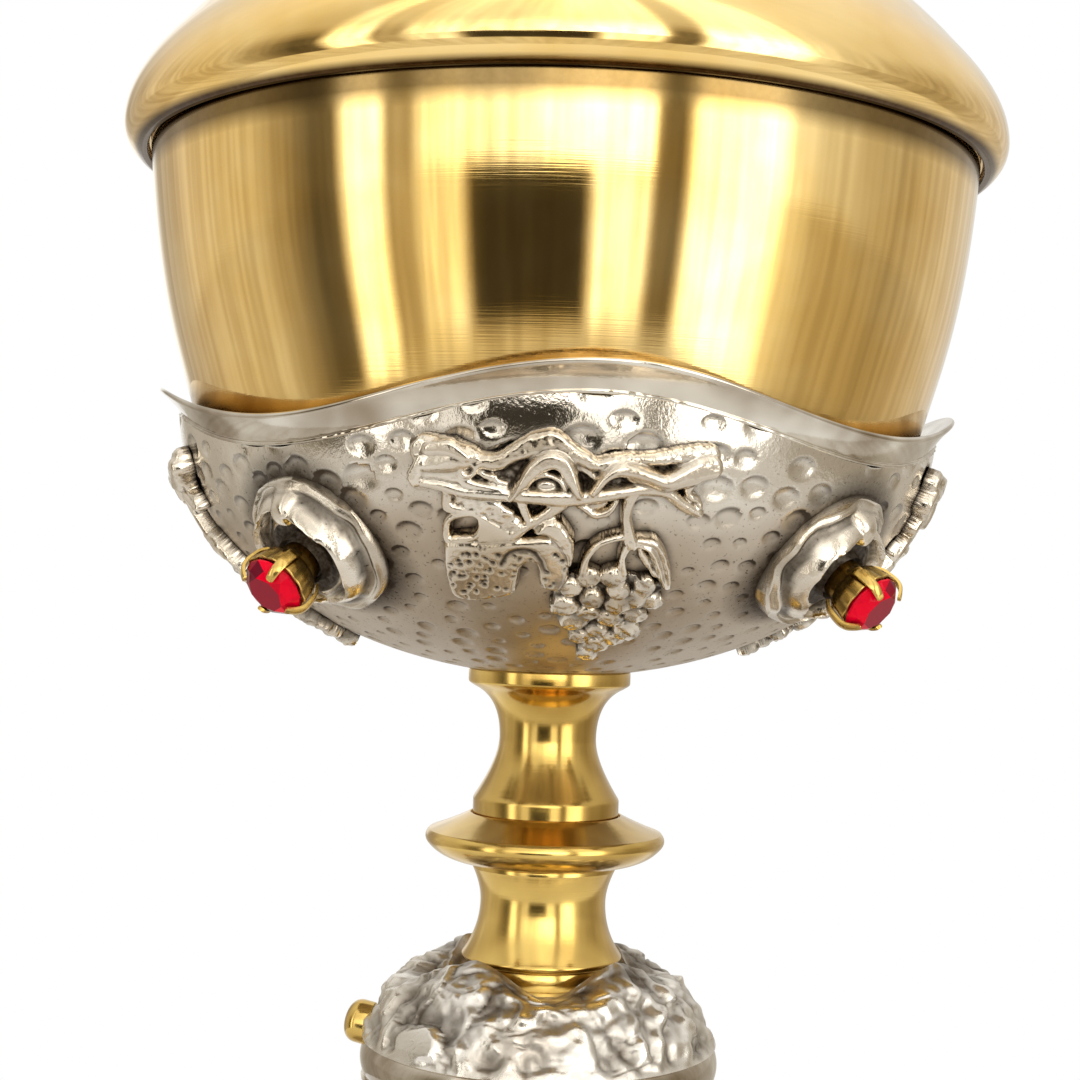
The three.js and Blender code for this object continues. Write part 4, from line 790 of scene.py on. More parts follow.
stroke([(5.4, 17.2), (7.4, 17.7), (8.5, 19.6), (9.3, 22.0), (10.0, 24.0)], [0.7, 1.5, 1.5, 1.3, 0.5], 2.2,
       groove=0.5, wobble=0.07)
stroke([(6.0, 18.2), (6.8, 19.8), (8.2, 22.0)], [0.5, 0.8, 0.4], 1.5, wobble=0.1)
stroke([(7.9, 10.9), (9.0, 11.9), (10.4, 12.8), (12.1, 13.3)], [0.6, 0.6, 0.7, 0.9], 1.9)
stroke([(12.1, 13.1), (12.0, 12.0), (11.0, 11.5), (10.7, 10.6), (11.7, 9.6)], [0.9, 0.6, 0.6, 0.6, 0.6], 1.7,
       wobble=0.08)
# The grapes on their dark ground.
plate([(-2.6, 24.4), (0.6, 22.2), (5.6, 22.6), (9.4, 24.2), (8.2, 28.4), (6.6, 33.4), (3.2, 38.6),
       (0.4, 35.4), (-2.2, 30.6)], 0.8, 0.4, 0.8, 0.12 * rough)
for x, y in ((-1.0, 24.6), (0.8, 22.7), (3.6, 22.6), (7.3, 24.1), (4.3, 24.6), (1.5, 26.2), (-1.5, 28.0),
             (4.6, 27.4), (8.5, 26.7), (6.9, 29.3), (1.3, 29.2), (-0.1, 31.0), (4.0, 30.2), (6.3, 32.6),
             (2.8, 33.1), (0.9, 34.6), (4.8, 34.9), (3.0, 36.6), (2.2, 39.0), (6.4, 26.4)):
    size = rng.uniform(1.3, 1.75)
    bead(x, y, size, size * rng.uniform(0.9, 1.25), rng.uniform(0.6, 1.15), 1.0, 0.85)
height += 0.035 * rough * np.clip(depth_in / 0.5, 0, 1)
print("highest spot:", round(float(height.max()), 2), "mm; covered:",
      round(float((depth_in > 0).mean()) * 100), "%")


# %% Hollows, outline and back of the casting
def blurred(picture, size):
    """The picture smoothed over a number of spots."""
    kernel = np.exp(-np.linspace(-2, 2, 2 * size + 1) ** 2)
    kernel /= kernel.sum()
    for axis in (0, 1):
        picture = np.apply_along_axis(lambda row: np.convolve(row, kernel, "same"), axis, picture)
    return picture


covered = depth_in > 0
softer = blurred(height * covered, 2) / np.maximum(blurred(covered.astype(float), 2), 0.2)
height = np.where(covered, np.maximum(0.25 * height + 0.75 * softer, 0.4), 0.0)
around_it = blurred(height, 7)
nearby = blurred(covered.astype(float), 12)
hollow_board = np.clip((around_it - height) / 0.5, 0, 1) * covered + 0.7 * np.clip(pit * 1.4, 0, 1)
hollow_board += np.clip((1.25 - height) / 0.7, 0, 1) * covered * 0.8
hollow_board += 0.55 * np.clip(0.25 + bumps(X, Y, 1.7, 8.0), 0, 1) * (Y > 21.5) * (X > -2.9)
slope_x, slope_y = np.gradient(depth_in, CELL)
steep = np.maximum(np.hypot(slope_x, slope_y), 0.4)
in_reach = depth_in > -0.7 * CELL
cells = in_reach[:-1, :-1] & in_reach[1:, :-1] & in_reach[:-1, 1:] & in_reach[1:, 1:]
cells &= (covered[:-1, :-1] | covered[1:, :-1] | covered[:-1, 1:] | covered[1:, 1:])
corner_i, corner_j = np.nonzero(cells)
quads = np.stack([np.stack([corner_i + a, corner_j + b], -1) for a, b in ((0, 0), (1, 0), (1, 1), (0, 1))], 1)
flat_id = quads[..., 0] * X.shape[1] + quads[..., 1]
used, compact = np.unique(flat_id, return_inverse=True)
compact = compact.reshape(flat_id.shape)
shift = np.where(depth_in < 0.3 * CELL, np.clip(depth_in, -CELL, 0.3 * CELL), 0.0)
px = (X - shift * slope_x / steep ** 2).ravel()[used]
py = (Y - shift * slope_y / steep ** 2).ravel()[used]
top_h = np.maximum(height, 0.55).ravel()[used]
shade = np.clip(hollow_board, 0, 1).ravel()[used]
edges = {}
for quad in compact:
    for k in range(4):
        a, b = int(quad[k]), int(quad[(k + 1) % 4])
        edges[(a, b)] = edges.get((a, b), 0) + 1
open_edges = [edge for edge in edges if (edge[1], edge[0]) not in edges]
count = len(used)
casting_faces = [tuple(int(v) for v in quad) for quad in compact]
casting_faces += [tuple(int(v) + count for v in quad[::-1]) for quad in compact]
casting_faces += [(b, a, a + count, b + count) for a, b in open_edges]
casting_points = np.concatenate([on_calyx(px, py, top_h), on_calyx(px, py, np.full(count, 0.02))])
casting_shade = np.concatenate([shade, np.ones(count)])
print("casting:", len(casting_faces), "faces, open edges closed:", len(open_edges))

# %% Four castings round the calyx
for i, side in enumerate(("front", "right", "back", "left")):
    mesh = mesh_of(f"vine_{side}", spun(casting_points, 90 * i), casting_faces, casting_shade)
    finish_piece(f"vine_{side}", mesh, cast_silver, "vessel", "dark_silver", f"vine_relief_{side}", sharp=75)

# %% [markdown]
# ## The punched calyx
# The calyx was struck all over from outside with a round punch, held a little slanting, so each
# mark is a shallow oval that is deepest on its upper side. The marks follow the surface and
# repeat by the hundred, so geometry nodes make them: points are scattered a least distance
# apart, every point of the skin finds its nearest one, and sinks if it lies within its mark.

# %% Skin of the calyx before it is punched
def calyx_radius(z):
    return calyx_widest * np.sqrt(np.maximum(1 - ((calyx_z - z) / calyx_depth) ** 2, 0))


def rim_waved(points):
    """Lifts the rim into four lobes, and keeps each point on the oval."""
    z = points[:, 2]
    up = wave(round_axis(points)[1]) * np.clip((z - seat_z) / (seam_z - seat_z), 0, 1) ** 3
    return moved(points, calyx_radius(z + up) - calyx_radius(z), up)


def calyx_arc(offset, steps):
    """The oval's line from the seat up to the seam, outside or inside the wall."""
    radius, depth = calyx_widest + offset, calyx_depth + offset
    turns = np.linspace(math.acos(CALYX_SEAT_RADIUS / radius), math.asin((calyx_z - seam_z) / depth), steps)
    return [(radius * math.cos(a), calyx_z - depth * math.sin(a)) for a in turns]


def from_lobe(turn):
    """The turn from the middle of the nearest lobe."""
    return (turn + math.pi / 4) % (math.pi / 2) - math.pi / 4


SKIN_SIDES, BOSS_DROP, BOSS_TILT = 620, 19.9, 37.5
outside = calyx_arc(0.0, 118)
outside[0] = (CALYX_SEAT_RADIUS, seat_z)
inside = calyx_arc(-CALYX_WALL, 14)[::-1]
inside[-1] = (inside[-1][0], seat_z + CALYX_WALL)
section = [(STUD_BORE, seat_z + CALYX_WALL), (STUD_BORE, seat_z), *outside, *inside]
skin_points, skin_faces = swept(section, SKIN_SIDES)
skin_points = rim_waved(skin_points)
skin_r, skin_turn = round_axis(skin_points)
is_outer = np.zeros(len(skin_points))
is_outer[2 * SKIN_SIDES:(2 + len(outside)) * SKIN_SIDES] = 1.0

# Tarnish gathers round the castings, where no cloth reaches, and a painted shadow darkens the skin round each
# boss.
lean = np.clip((calyx_z - skin_points[:, 2]) / calyx_depth, -0.2, 0.999)
down_skin = np.interp(np.arcsin(lean), skin_angle, skin_down)
beside = from_lobe(skin_turn) * skin_r
board_i = np.clip(((beside - board_x[0]) / CELL).astype(int), 0, X.shape[0] - 1)
board_j = np.clip(((down_skin - board_y[0]) / CELL).astype(int), 0, X.shape[1] - 1)
on_board = ((beside > board_x[0]) & (beside < board_x[-1])
            & (down_skin > board_y[0]) & (down_skin < board_y[-1]))
tarnish_and_painted_shadow = np.where(on_board, np.clip(nearby[board_i, board_j] * 1.35 - 0.08, 0, 1), 0.0) * is_outer
from_boss = np.hypot((skin_turn % (math.pi / 2) - math.pi / 4) * skin_r, down_skin - BOSS_DROP)
tarnish_and_painted_shadow = np.maximum(tarnish_and_painted_shadow, np.clip((13.4 - from_boss) / 4.0, 0, 0.95) * is_outer)
calyx_mesh = mesh_of("calyx", skin_points, skin_faces, tarnish_and_painted_shadow)
carry(calyx_mesh, "outer", is_outer)
print("calyx skin:", len(skin_points), "points")

# %% Node tree that punches the marks
def new_tree(label, *inputs):
    """A geometry tree with named inputs: its bench, the inputs as wires, and their identifiers."""
    tree = bpy.data.node_groups.new(label, "GeometryNodeTree")
    names = {}
    tree.interface.new_socket("Geometry", in_out="INPUT", socket_type="NodeSocketGeometry")
    for name, kind, start in inputs:
        socket = tree.interface.new_socket(name, in_out="INPUT", socket_type=f"NodeSocket{kind}")
        if start is not None:
            socket.default_value = start
        names[name] = socket.identifier
    tree.interface.new_socket("Geometry", in_out="OUTPUT", socket_type="NodeSocketGeometry")
    bench = Bench(tree)
    return bench, {s.name: Wire(bench, s) for s in tree.nodes.new("NodeGroupInput").outputs}, names


def end_tree(bench, geometry, given):
    """Makes copies real, gives all its metal, and leads it out of the tree."""
    real = bench.node("GeometryNodeRealizeInstances", {}, {"Geometry": geometry})
    coated = bench.node("GeometryNodeSetMaterial", {}, {"Geometry": real, "Material": given["Metal"]})
    bench.tree.links.new(coated.socket, bench.tree.nodes.new("NodeGroupOutput").inputs[0])


def with_tree(mesh, tree, identifiers, **values):
    """Runs a geometry tree on a mesh once and gives back a plain mesh."""
    holder = placed("holder", mesh)
    modifier = holder.modifiers.new("tree", "NODES")
    modifier.node_group = tree
    for name, value in values.items():
        modifier[identifiers[name.replace("_", " ")]] = value
    depsgraph = bpy.context.evaluated_depsgraph_get()
    made = bpy.data.meshes.new_from_object(holder.evaluated_get(depsgraph), depsgraph=depsgraph)
    holder.modifiers.remove(modifier)
    bpy.data.objects.remove(holder)
    return made


bench, given, punch_inputs = new_tree(
    "punched marks",
    ("Spacing", "Float", 0.0035), ("Low mark", "Float", 0.0012), ("High mark", "Float", 0.0021),
    ("Low level", "Float", 0.0), ("High level", "Float", 0.1), ("High share", "Float", 1.0),
    ("Depth", "Float", 0.0002), ("Seed", "Int", 3), ("Metal", "Material", None))
punching = bench.tree
outer = bench.node("GeometryNodeInputNamedAttribute", {"data_type": "FLOAT"}, {"Name": "outer"})
place = bench.node("GeometryNodeInputPosition")
_, _, level = bench.split(place)
scatter = bench.node(
    "GeometryNodeDistributePointsOnFaces", {"distribute_method": "POISSON"},
    {"Mesh": given["Geometry"], "Selection": outer, "Distance Min": given["Spacing"], "Density Max": 900000.0,
     "Density Factor": level.between(given["Low level"], given["High level"], 0.9, given["High share"]),
     "Seed": given["Seed"]})
nearest = bench.node("GeometryNodeSampleNearest", {"domain": "POINT"},
                     {"Geometry": scatter, "Sample Position": place})
luck = bench.node("FunctionNodeRandomValue", {"data_type": "FLOAT"}, {2: 0.66, 3: 1.2, "Seed": 5}, out=1)
middle, chance = (
    bench.node("GeometryNodeSampleIndex", {"data_type": kind, "domain": "POINT"},
               {"Geometry": scatter, "Value": value, "Index": nearest})
    for kind, value in (("FLOAT_VECTOR", place), ("FLOAT", luck)))
size = level.between(given["Low level"], given["High level"], given["Low mark"], given["High mark"]) * chance
away = bench.vector("SUBTRACT", place, middle)
_, _, above = bench.split(away)
share = bench.vector("LENGTH", bench.vector("MULTIPLY", away, (1.0, 1.0, 1.3)), out=1) / size
bowl = (1.0 - share * share).at_least(0.0)
slanted = bowl * (1.0 + 1.1 * (above / size)).at_least(0.05)
sunk = slanted * given["Depth"] * outer * chance * -1.0
struck = bench.node("GeometryNodeSetPosition", {}, {
    "Geometry": given["Geometry"], "Offset": bench.scaled(bench.node("GeometryNodeInputNormal"), sunk)})
for name, value in (("mark", share * outer + (1.0 - outer) * 3.0), ("upper", above / size)):
    struck = bench.node("GeometryNodeStoreNamedAttribute", {"data_type": "FLOAT", "domain": "POINT"},
                        {"Geometry": struck, "Name": name, "Value": value})
end_tree(bench, struck, given)
print("punching tree:", len(punching.nodes), "nodes")

# %% [markdown]
# ## Silver with punched marks
# The marks need crisp edges that the mesh's own points are too far apart to give. The tree left
# on each point how far it is from its mark's middle, so the finish can draw a fine step there
# as a bump, and paint shadow into the upper crescent of each mark.

# %% Punched silver finish
def punched_metal(label, bright, dull, dark, low_level, high_level):
    """Dark low down and bright high up, with a fine step at the edge of each mark."""
    made, bench, spot = new_finish(label)
    _, _, level = bench.split(spot)
    mark, upper = bench.stored("mark"), bench.stored("upper")
    clouds = bench.grain(spot, 42.0, 3.0, 0.6)
    fine = bench.grain(spot, 1500.0, 3.0, 0.7)
    pores = bench.grain(spot, 2600.0, 1.0, 0.5)
    high = (level + 0.004 * (clouds - 0.5)).between(low_level, high_level)
    rubbed = (high * 0.7 + clouds.between(0.35, 0.75) * 0.35).at_most(1.0)
    edge = mark.between(0.5, 0.92) * (1.0 - mark.between(0.96, 1.15))
    # Painted shadow along the upper crescent of each mark, weaker high up.
    crescent = edge * upper.between(-0.1, 0.7) * (0.85 - 0.35 * high)
    within = (1.0 - mark.between(0.5, 1.05)) * (0.1 - 0.06 * high)
    specks = pores.between(0.64, 0.76) * (0.5 - 0.2 * high)
    shade = (bench.patina_and_shade() * (0.72 + 0.5 * fine) + crescent + within + specks).at_most(0.95)
    rough = 0.4 - 0.29 * high + 0.14 * (clouds - 0.5) + 0.25 * shade
    step = (1.0 - mark.between(upper.between(-0.5, 0.5, 0.15, 0.84), 1.03)) * -1.0
    bench.surface({
        "Base Color": bench.mix(shade, bench.mix(rubbed, colour(*dull), colour(*bright)), colour(*dark)),
        "Metallic": 1.0, "Roughness": rough.at_least(0.07).at_most(0.85),
        "Normal": bench.dent(fine, 0.035, bench.dent(step, 0.06))})
    return made


calyx_silver = punched_metal("calyx_silver", (226, 218, 204), (170, 154, 133), (54, 42, 30),
                             (seat_z + 15) * 0.001, (seat_z + 26) * 0.001)
calyx_mesh = with_tree(
    calyx_mesh, punching, punch_inputs, Spacing=0.0034, Low_mark=0.00115, High_mark=0.0022, High_share=0.62,
    Low_level=(seat_z + 12) * 0.001, High_level=(seat_z + 26) * 0.001, Depth=0.00027, Seed=11,
    Metal=calyx_silver)
finish_piece("calyx", calyx_mesh, calyx_silver, "vessel", "dark_silver", "calyx", sharp=60)

# %% [markdown]
# ## Rim band of the calyx
# A strip of plain bright silver is soldered along the wavy rim and turns outwards, more at the
# top of each lobe than in the dips. It is a small section swept round the axis and then lifted
# by the same wave as the seam, with a slight unevenness of hand work.

# %% The wavy band
BAND_HEIGHT = 3.2
edge_r = float(calyx_radius(seam_z))
band_bottom = seam_z + 0.05
band_top = band_bottom + BAND_HEIGHT


def band_waved(points):
    """Lifts the band with the rim, turns it out, and adds the solder's beads along its foot."""
    turn, share = round_axis(points)[1], (points[:, 2] - band_bottom) / BAND_HEIGHT
    hand = 0.12 * np.sin(7 * turn + 1.0) + 0.08 * np.sin(11 * turn)
    bead = np.array([noise.noise(Vector((math.sin(t) * 60, math.cos(t) * 60, s * 3))) for t,
                     s in zip(turn, share)])
    out = 0.7 * np.cos(LOBES * turn) * share + hand * share + 0.16 * bead * np.clip(1 - share / 0.2, 0, 1)
    return moved(points, out, wave(turn) + 0.5 * hand * share)


turned("calyx_rim", outline((edge_r - 0.9, band_bottom), (edge_r + 0.2, band_bottom - 0.12),
                            (edge_r + 0.28, band_bottom + 0.25), (edge_r + 0.05, band_bottom + 0.4),
                            (edge_r + 0.85, band_bottom + 1.75, edge_r + 2.0, band_top - 0.45),
                            (edge_r + 2.5, band_top, edge_r + 1.95, band_top + 0.3),
                            (edge_r + 0.1, band_bottom + 2.4, edge_r - 0.9, band_bottom + 0.9)),
       bright_silver, "vessel", "bright_silver", "calyx_rim_band", sides=720, ease=0.15, warp=band_waved)

# %% [markdown]
# ## Bosses, settings and stones
# Below each dip of the rim a cast boss carries a red stone that looks down and outwards. The
# boss is a round mound with a ridge, like a shell, and a short tube in the middle. Its top is
# drawn ring by ring, and each ring point has a partner that lies on the calyx below it.

# %% Cast boss
BOSS_RINGS, BOSS_SIDES, BOSS_RADIUS = 46, 144, 9.4
BOSS_TURN = math.radians(90 + BOSS_TILT)
way_out = np.array([0.0, -math.sin(BOSS_TURN), math.cos(BOSS_TURN)])


def boss_place(points):
    """Moves points to the calyx's front from the boss's own frame, whose z is the way the stone looks."""
    c, s = math.cos(BOSS_TURN), math.sin(BOSS_TURN)
    x, y, z = np.asarray(points, float).T
    origin = on_calyx(0.0, BOSS_DROP, 0.0)
    return np.stack([x + origin[0], c * y - s * z + origin[1], s * y + c * z + origin[2]], axis=-1)


def onto_calyx(points, depth):
    """Slides points along the boss's axis until they meet the calyx, a little below its skin."""
    size = np.array([calyx_widest - depth, calyx_widest - depth, calyx_depth - depth])
    start, step = (points - np.array([0, 0, calyx_z])) / size, way_out / size
    a, b, c = step @ step, 2 * start @ step, np.einsum("ij,ij->i", start, start) - 1
    far = (-b + np.sqrt(np.maximum(b * b - 4 * a * c, 0))) / (2 * a)
    return points + far[:, None] * way_out


R, A = np.meshgrid(np.linspace(0, BOSS_RADIUS, BOSS_RINGS)[1:],
                   np.linspace(0, 2 * math.pi, BOSS_SIDES, endpoint=False), indexing="ij")
boss_x, boss_y = R * np.cos(A), R * np.sin(A)


def boss_form(seed):
    """Heights of one boss over its plane, and how dark each spot is."""
    lumps = bumps(boss_x, boss_y, 3.2, 9.0 + seed) + 0.1 * bumps(boss_x, boss_y, 1.1, 2.0 + seed)
    sway = 0.9 * bumps(3 * np.cos(A), 3 * np.sin(A), 2.2, seed + 0.5)
    out = R + sway * np.clip((R - 4) / 2, 0, 1)
    side = 0.3 + 0.7 * np.abs(np.cos(A)) ** 0.7
    mound = 2.6 / (1 + np.exp((R - 7.2) / 0.85)) + 0.14 * np.sin(out * 5.2) * np.clip((R - 4.6) / 1.5, 0, 1)
    bar = 2.0 * np.exp(-np.abs((out - 6.7) / 0.72) ** 3.0) * side
    slit = (0.5 * np.exp(-((out - 7.55) / 0.18) ** 2)
            * np.clip(np.sin(A * 1.5 + seed * 1.9) + 0.4, 0, 1) * side)
    fold = 0.5 * np.exp(-((out - 8.6) / 0.3) ** 2) * np.clip(np.sin(A + 2.6 + seed) - 0.1, 0, 1)
    dip = 0.9 * np.exp(-((out - 5.3) / 0.5) ** 2) * side
    crown_lump = 3.3 * np.exp(-(np.hypot(boss_x - 0.5 * math.sin(seed), boss_y - 6.0) / 2.5) ** 4)
    neck = 4.6 / (1 + np.exp((R - 3.35) / 0.2)) - 1.7 / (1 + np.exp((R - 2.95) / 0.05))
    high = np.maximum(mound + bar - slit + fold - dip, crown_lump) + 0.55 * lumps
    high = np.where(R < 4.7, np.maximum(neck, np.minimum(high, 2.2)), high)
    around_it = sum(np.roll(high, k, 0) for k in (-6, -4, -2, 2, 4, 6)) / 6
    # Dark in the grooves as patina, and painted shade in the recess under the setting.
    dark = (0.8 * np.clip((around_it - high) / 0.5, 0, 1) * np.clip((8.6 - R) / 0.8, 0, 1) + 0.95 * (R < 5.0)
            + 0.2 * np.clip((R - 7.6) / 1.2, 0, 1))
    return high, np.clip(dark - 0.2 * lumps, 0, 1)


def boss_mesh(label, seed, degrees):
    """A closed casting: its drawn top, its back on the calyx, and the edge between them."""
    high, dark = boss_form(seed)
    top = boss_place(np.concatenate([[[0.0, 0.0, float(high[0].mean())]],
                                     np.stack([boss_x.ravel(), boss_y.ravel(), high.ravel()], -1)]))
    bottom = onto_calyx(top, 0.15)
    above_skin = (top - bottom) @ way_out
    top = np.where((above_skin < 0.25)[:, None], onto_calyx(top, -0.12), top)
    count = len(top)
    faces = []
    for j in range(BOSS_SIDES):
        k = (j + 1) % BOSS_SIDES
        faces += [(0, 1 + j, 1 + k), (count, count + 1 + k, count + 1 + j)]
        for i in range(BOSS_RINGS - 2):
            a, b, c, d = (1 + i * BOSS_SIDES + j, 1 + (i + 1) * BOSS_SIDES + j,
                          1 + (i + 1) * BOSS_SIDES + k, 1 + i * BOSS_SIDES + k)
            faces += [(a, b, c, d), (count + d, count + c, count + b, count + a)]
        a, d = 1 + (BOSS_RINGS - 2) * BOSS_SIDES + j, 1 + (BOSS_RINGS - 2) * BOSS_SIDES + k
        faces.append((a, count + a, count + d, d))
    shade = np.concatenate([[0.3], dark.ravel(), np.full(count, 0.6)])
    return mesh_of(label, spun(np.concatenate([top, bottom]), degrees), faces, shade)


for i in range(LOBES):
    label = f"boss_casting_{i + 1}"
    finish_piece(label, boss_mesh(label, i, 90 * i + 45), cast_silver, "vessel", "dark_silver",
                 f"boss_{i + 1}", sharp=70)

# %% [markdown]
# ## Claw setting
# The stone sits in a small gilt cup with a fluted wall, like a crimped bottle cap, and four flat
# claws are bent over its edge. One claw is made as a strip along a bent line, and geometry nodes
# set it four times round the cup.

# %% One claw, and the ring that repeats it
def strip_along(path, widths, thickness):
    """A flat strip that stands on the x axis and follows a path of radius and height."""
    points, faces = [], []
    path = np.array(path, float)
    for i, (r, z) in enumerate(path):
        along = path[min(i + 1, len(path) - 1)] - path[max(i - 1, 0)]
        along /= np.linalg.norm(along)
        out = np.array([along[1], -along[0]]) * thickness
        w = widths[i] / 2
        points += [(r, -w, z), (r + 0.75 * out[0], -w, z + 0.75 * out[1]), (r + out[0], -w * 0.7, z + out[1]),
                   (r + out[0], w * 0.7, z + out[1]), (r + 0.75 * out[0], w, z + 0.75 * out[1]), (r, w, z)]
    for i in range(len(path) - 1):
        for j in range(6):
            a, b = 6 * i + j, 6 * i + (j + 1) % 6
            faces.append((a, a + 6, b + 6, b))
    last = 6 * (len(path) - 1)
    faces += [(0, 1, 2, 3, 4, 5), tuple(last + j for j in (5, 4, 3, 2, 1, 0))]
    return np.array(points), faces


claw_line = flowing([(3.4, 0.3), (4.0, 1.2), (4.22, 2.4), (4.25, 3.3), (4.05, 4.0), (3.6, 4.55),
                     (3.05, 4.98), (2.85, 5.1)],
                    steps=5)
claw_widths = np.interp(np.linspace(0, 1, len(claw_line)), [0, 0.6, 0.88, 0.96, 1],
                        [1.35, 1.2, 0.95, 0.75, 0.4])
claw_points, claw_faces = strip_along(claw_line, claw_widths, 0.42)
claw_mesh = mesh_of("claw", claw_points, claw_faces, np.zeros(len(claw_points)))

bench, given, ring_inputs = new_tree("pieces in a ring", ("Count", "Int", 4), ("Piece", "Object", None),
                                     ("First turn", "Float", 0.0), ("Metal", "Material", None))
ringing = bench.tree
spots = bench.node("GeometryNodeMeshLine", {}, {"Count": given["Count"], "Offset": (0.0, 0.0, 0.0)})
number = bench.node("GeometryNodeInputIndex")
facing = bench.node("ShaderNodeCombineXYZ", {}, {
    "Z": given["First turn"] + number * (2 * math.pi) / given["Count"]})
source = bench.node("GeometryNodeObjectInfo", {}, {"Object": given["Piece"]}).socket.node
model = Wire(bench, next(output for output in source.outputs if output.name == "Geometry"))
copies = bench.node("GeometryNodeInstanceOnPoints", {},
                    {"Points": spots, "Instance": model, "Rotation": facing})
both = bench.node("GeometryNodeJoinGeometry")
for part in (given["Geometry"], copies):
    ringing.links.new(part.socket, both.socket.node.inputs[0])
end_tree(bench, both, given)
print("claw:", len(claw_points), "points; ring tree:", len(ringing.nodes), "nodes")

# %% Fluted cup with its claws
TUBE_TOP = 4.6


def in_boss(points, number):
    """Points of a setting or a stone, moved from its own frame to the top of a boss's tube."""
    return spun(boss_place(points + [0, 0, TUBE_TOP]), 90 * number + 45)


fluted, fluted_faces = swept(eased(
    [(0, -1.7), (2.55, -1.7), (2.55, 0.2), (3.2, 0.3), (3.6, 0.9), (3.85, 1.9),
     (4.12, 3.3), (3.88, 3.4), (3.6, 2.2), (1.2, 0.75), (0, 0.7)], 0.15, False), 96, False)
out, turn = round_axis(fluted)
flute = 0.2 * (np.abs(np.cos(6 * turn)) ** 1.5 - 0.5) * np.clip((out - 3.0) / 0.8, 0, 1)
# Painted shade in the grooves of the flutes.
gilt_cup = mesh_of("gilt_cup", moved(fluted, flute), fluted_faces, np.clip(-flute * 5, 0, 0.55))
claw = placed("claw", claw_mesh)
setting_mesh = with_tree(gilt_cup, ringing, ring_inputs, Count=4, Piece=claw, First_turn=math.radians(45),
                         Metal=gold)
bpy.data.objects.remove(claw)
setting_local = np.array([v.co for v in setting_mesh.vertices]) * 1000
setting_faces = [tuple(p.vertices) for p in setting_mesh.polygons]
setting_shade = np.zeros(len(setting_local))
setting_mesh.attributes["patina_and_shade"].data.foreach_get("value", setting_shade)
setting_shade = np.clip(setting_shade + 0.2, 0, 1)
for i in range(LOBES):
    label = f"claw_setting_{i + 1}"
    finish_piece(label, mesh_of(label, in_boss(setting_local, i), setting_faces, setting_shade),
                 satin_gold, "vessel", "gold", f"gem_setting_{i + 1}", sharp=34)

# %% [markdown]
# ## The red stones
# Each stone is a round cut glass stone about 8 mm across: a flat table, eight kite facets with
# small triangles between them, a thin girdle and a pointed back. Its few faces stay flat. A
# value on each face paints light on one half of the stone and shade on the other, with some
# chance between neighbours, in place of its inner reflections.

# %% Cut stone
def ring_of(radius, height, count, start=0.0):
    turns = np.arange(count) * 2 * math.pi / count + start
    return [(radius * math.cos(a), radius * math.sin(a), height) for a in turns]


eighth = math.pi / 8
stone = (ring_of(2.35, 5.25, 8) + ring_of(3.2, 4.72, 8, eighth) + ring_of(3.84, 3.85, 16)
         + ring_of(3.84, 3.6, 16) + ring_of(2.2, 2.2, 8) + [(0, 0, 1.05)])
table, kite, girdle, belt, back, point = 0, 8, 16, 32, 48, 56
stone_faces = [tuple(range(8))]
for i in range(8):
    j, left, right = (i + 1) % 8, 2 * i, (2 * i + 2) % 16
    stone_faces += [
        (table + i, kite + i, table + j),
        (kite + i, girdle + 2 * i + 1, girdle + right),
        (kite + i, girdle + left, girdle + 2 * i + 1),
        (table + i, kite + (i - 1) % 8, girdle + left, kite + i),
        (back + i, back + j, belt + right, belt + 2 * i + 1, belt + left),
        (back + j, back + i, point),
    ]
for i in range(16):
    j = (i + 1) % 16
    stone_faces.append((girdle + i, belt + i, belt + j, girdle + j))
stone = np.array(stone, float)
for i in range(LOBES):
    mesh = mesh_of(f"stone_{i + 1}", in_boss(stone, i), stone_faces)
    luck = np.random.default_rng(20 + i)
    # Painted light on one half of each stone and painted shade on the other.
    sides_x = np.array([stone[list(p.vertices), 0].mean() for p in mesh.polygons]) * (-1) ** (i + 1)
    painted_facet_shade = np.where(sides_x > 0.2, luck.choice([0.0, 0.05, 0.3], len(sides_x)),
                      luck.choice([0.65, 0.85, 1.0], len(sides_x)))
    painted_facet_shade[0] = 0.8
    carry(mesh, "patina_and_shade", painted_facet_shade, "FACE")
    finish_piece(f"stone_{i + 1}", mesh, stone_red, "vessel", "red_stone", f"gem_{i + 1}", sharp=0)

# %% [markdown]
# ## Stem
# The stem is a row of turned gilt pieces threaded on one rod: a waisted neck under the calyx, a
# disc, a second waist, then the knop between two plain rings, and a longer waist down to the
# base. Each has its own section, measured from the photograph.

# %% Turned stem pieces
def gilt_piece(label, points, node, ease):
    turned(label, points, satin_gold, "vessel", "gold", node, ease=ease)


band_z = stem_upper_z + 2.5
neck_z = seat_z - 2.4
waist_z = band_z + 0.54 * (neck_z - band_z)
gilt_piece("stem_neck", outline(
    (STUD_BORE, stem_upper_z), (9.8, stem_upper_z), (9.8, band_z), (9.7, band_z + 0.25),
    (6.5, band_z + 0.65 * (waist_z - band_z), 6.5, waist_z), (6.5, neck_z - 1.6, 10.1, neck_z),
    (10.9, neck_z + 0.5), (10.9, seat_z), (STUD_BORE, seat_z)), "stem_upper", 0.3)
edge_z = disc_z + 3.4
gilt_piece("stem_disc_ring", outline(
    (BORE, disc_z), (9.9, disc_z), (14.0, disc_z + 0.3, 15.8, edge_z - 0.85),
    (16.4, edge_z, 15.6, edge_z + 0.85), (12.95, edge_z + 1.75, 10.1, stem_upper_z + 0.6),
    (10.0, stem_upper_z), (BORE, stem_upper_z)), "stem_disc", 0.2)
low_waist_z = stem_lower_z + 7.8
gilt_piece("stem_waist", outline(
    (BORE, stem_lower_z), (10.5, stem_lower_z), (10.8, stem_lower_z + 0.7),
    (8.4, stem_lower_z + 3.9, 8.4, low_waist_z), (8.4, disc_z - 3.2, 9.6, disc_z - 0.7), (9.6, disc_z),
    (BORE, disc_z)), "stem_lower", 0.3)
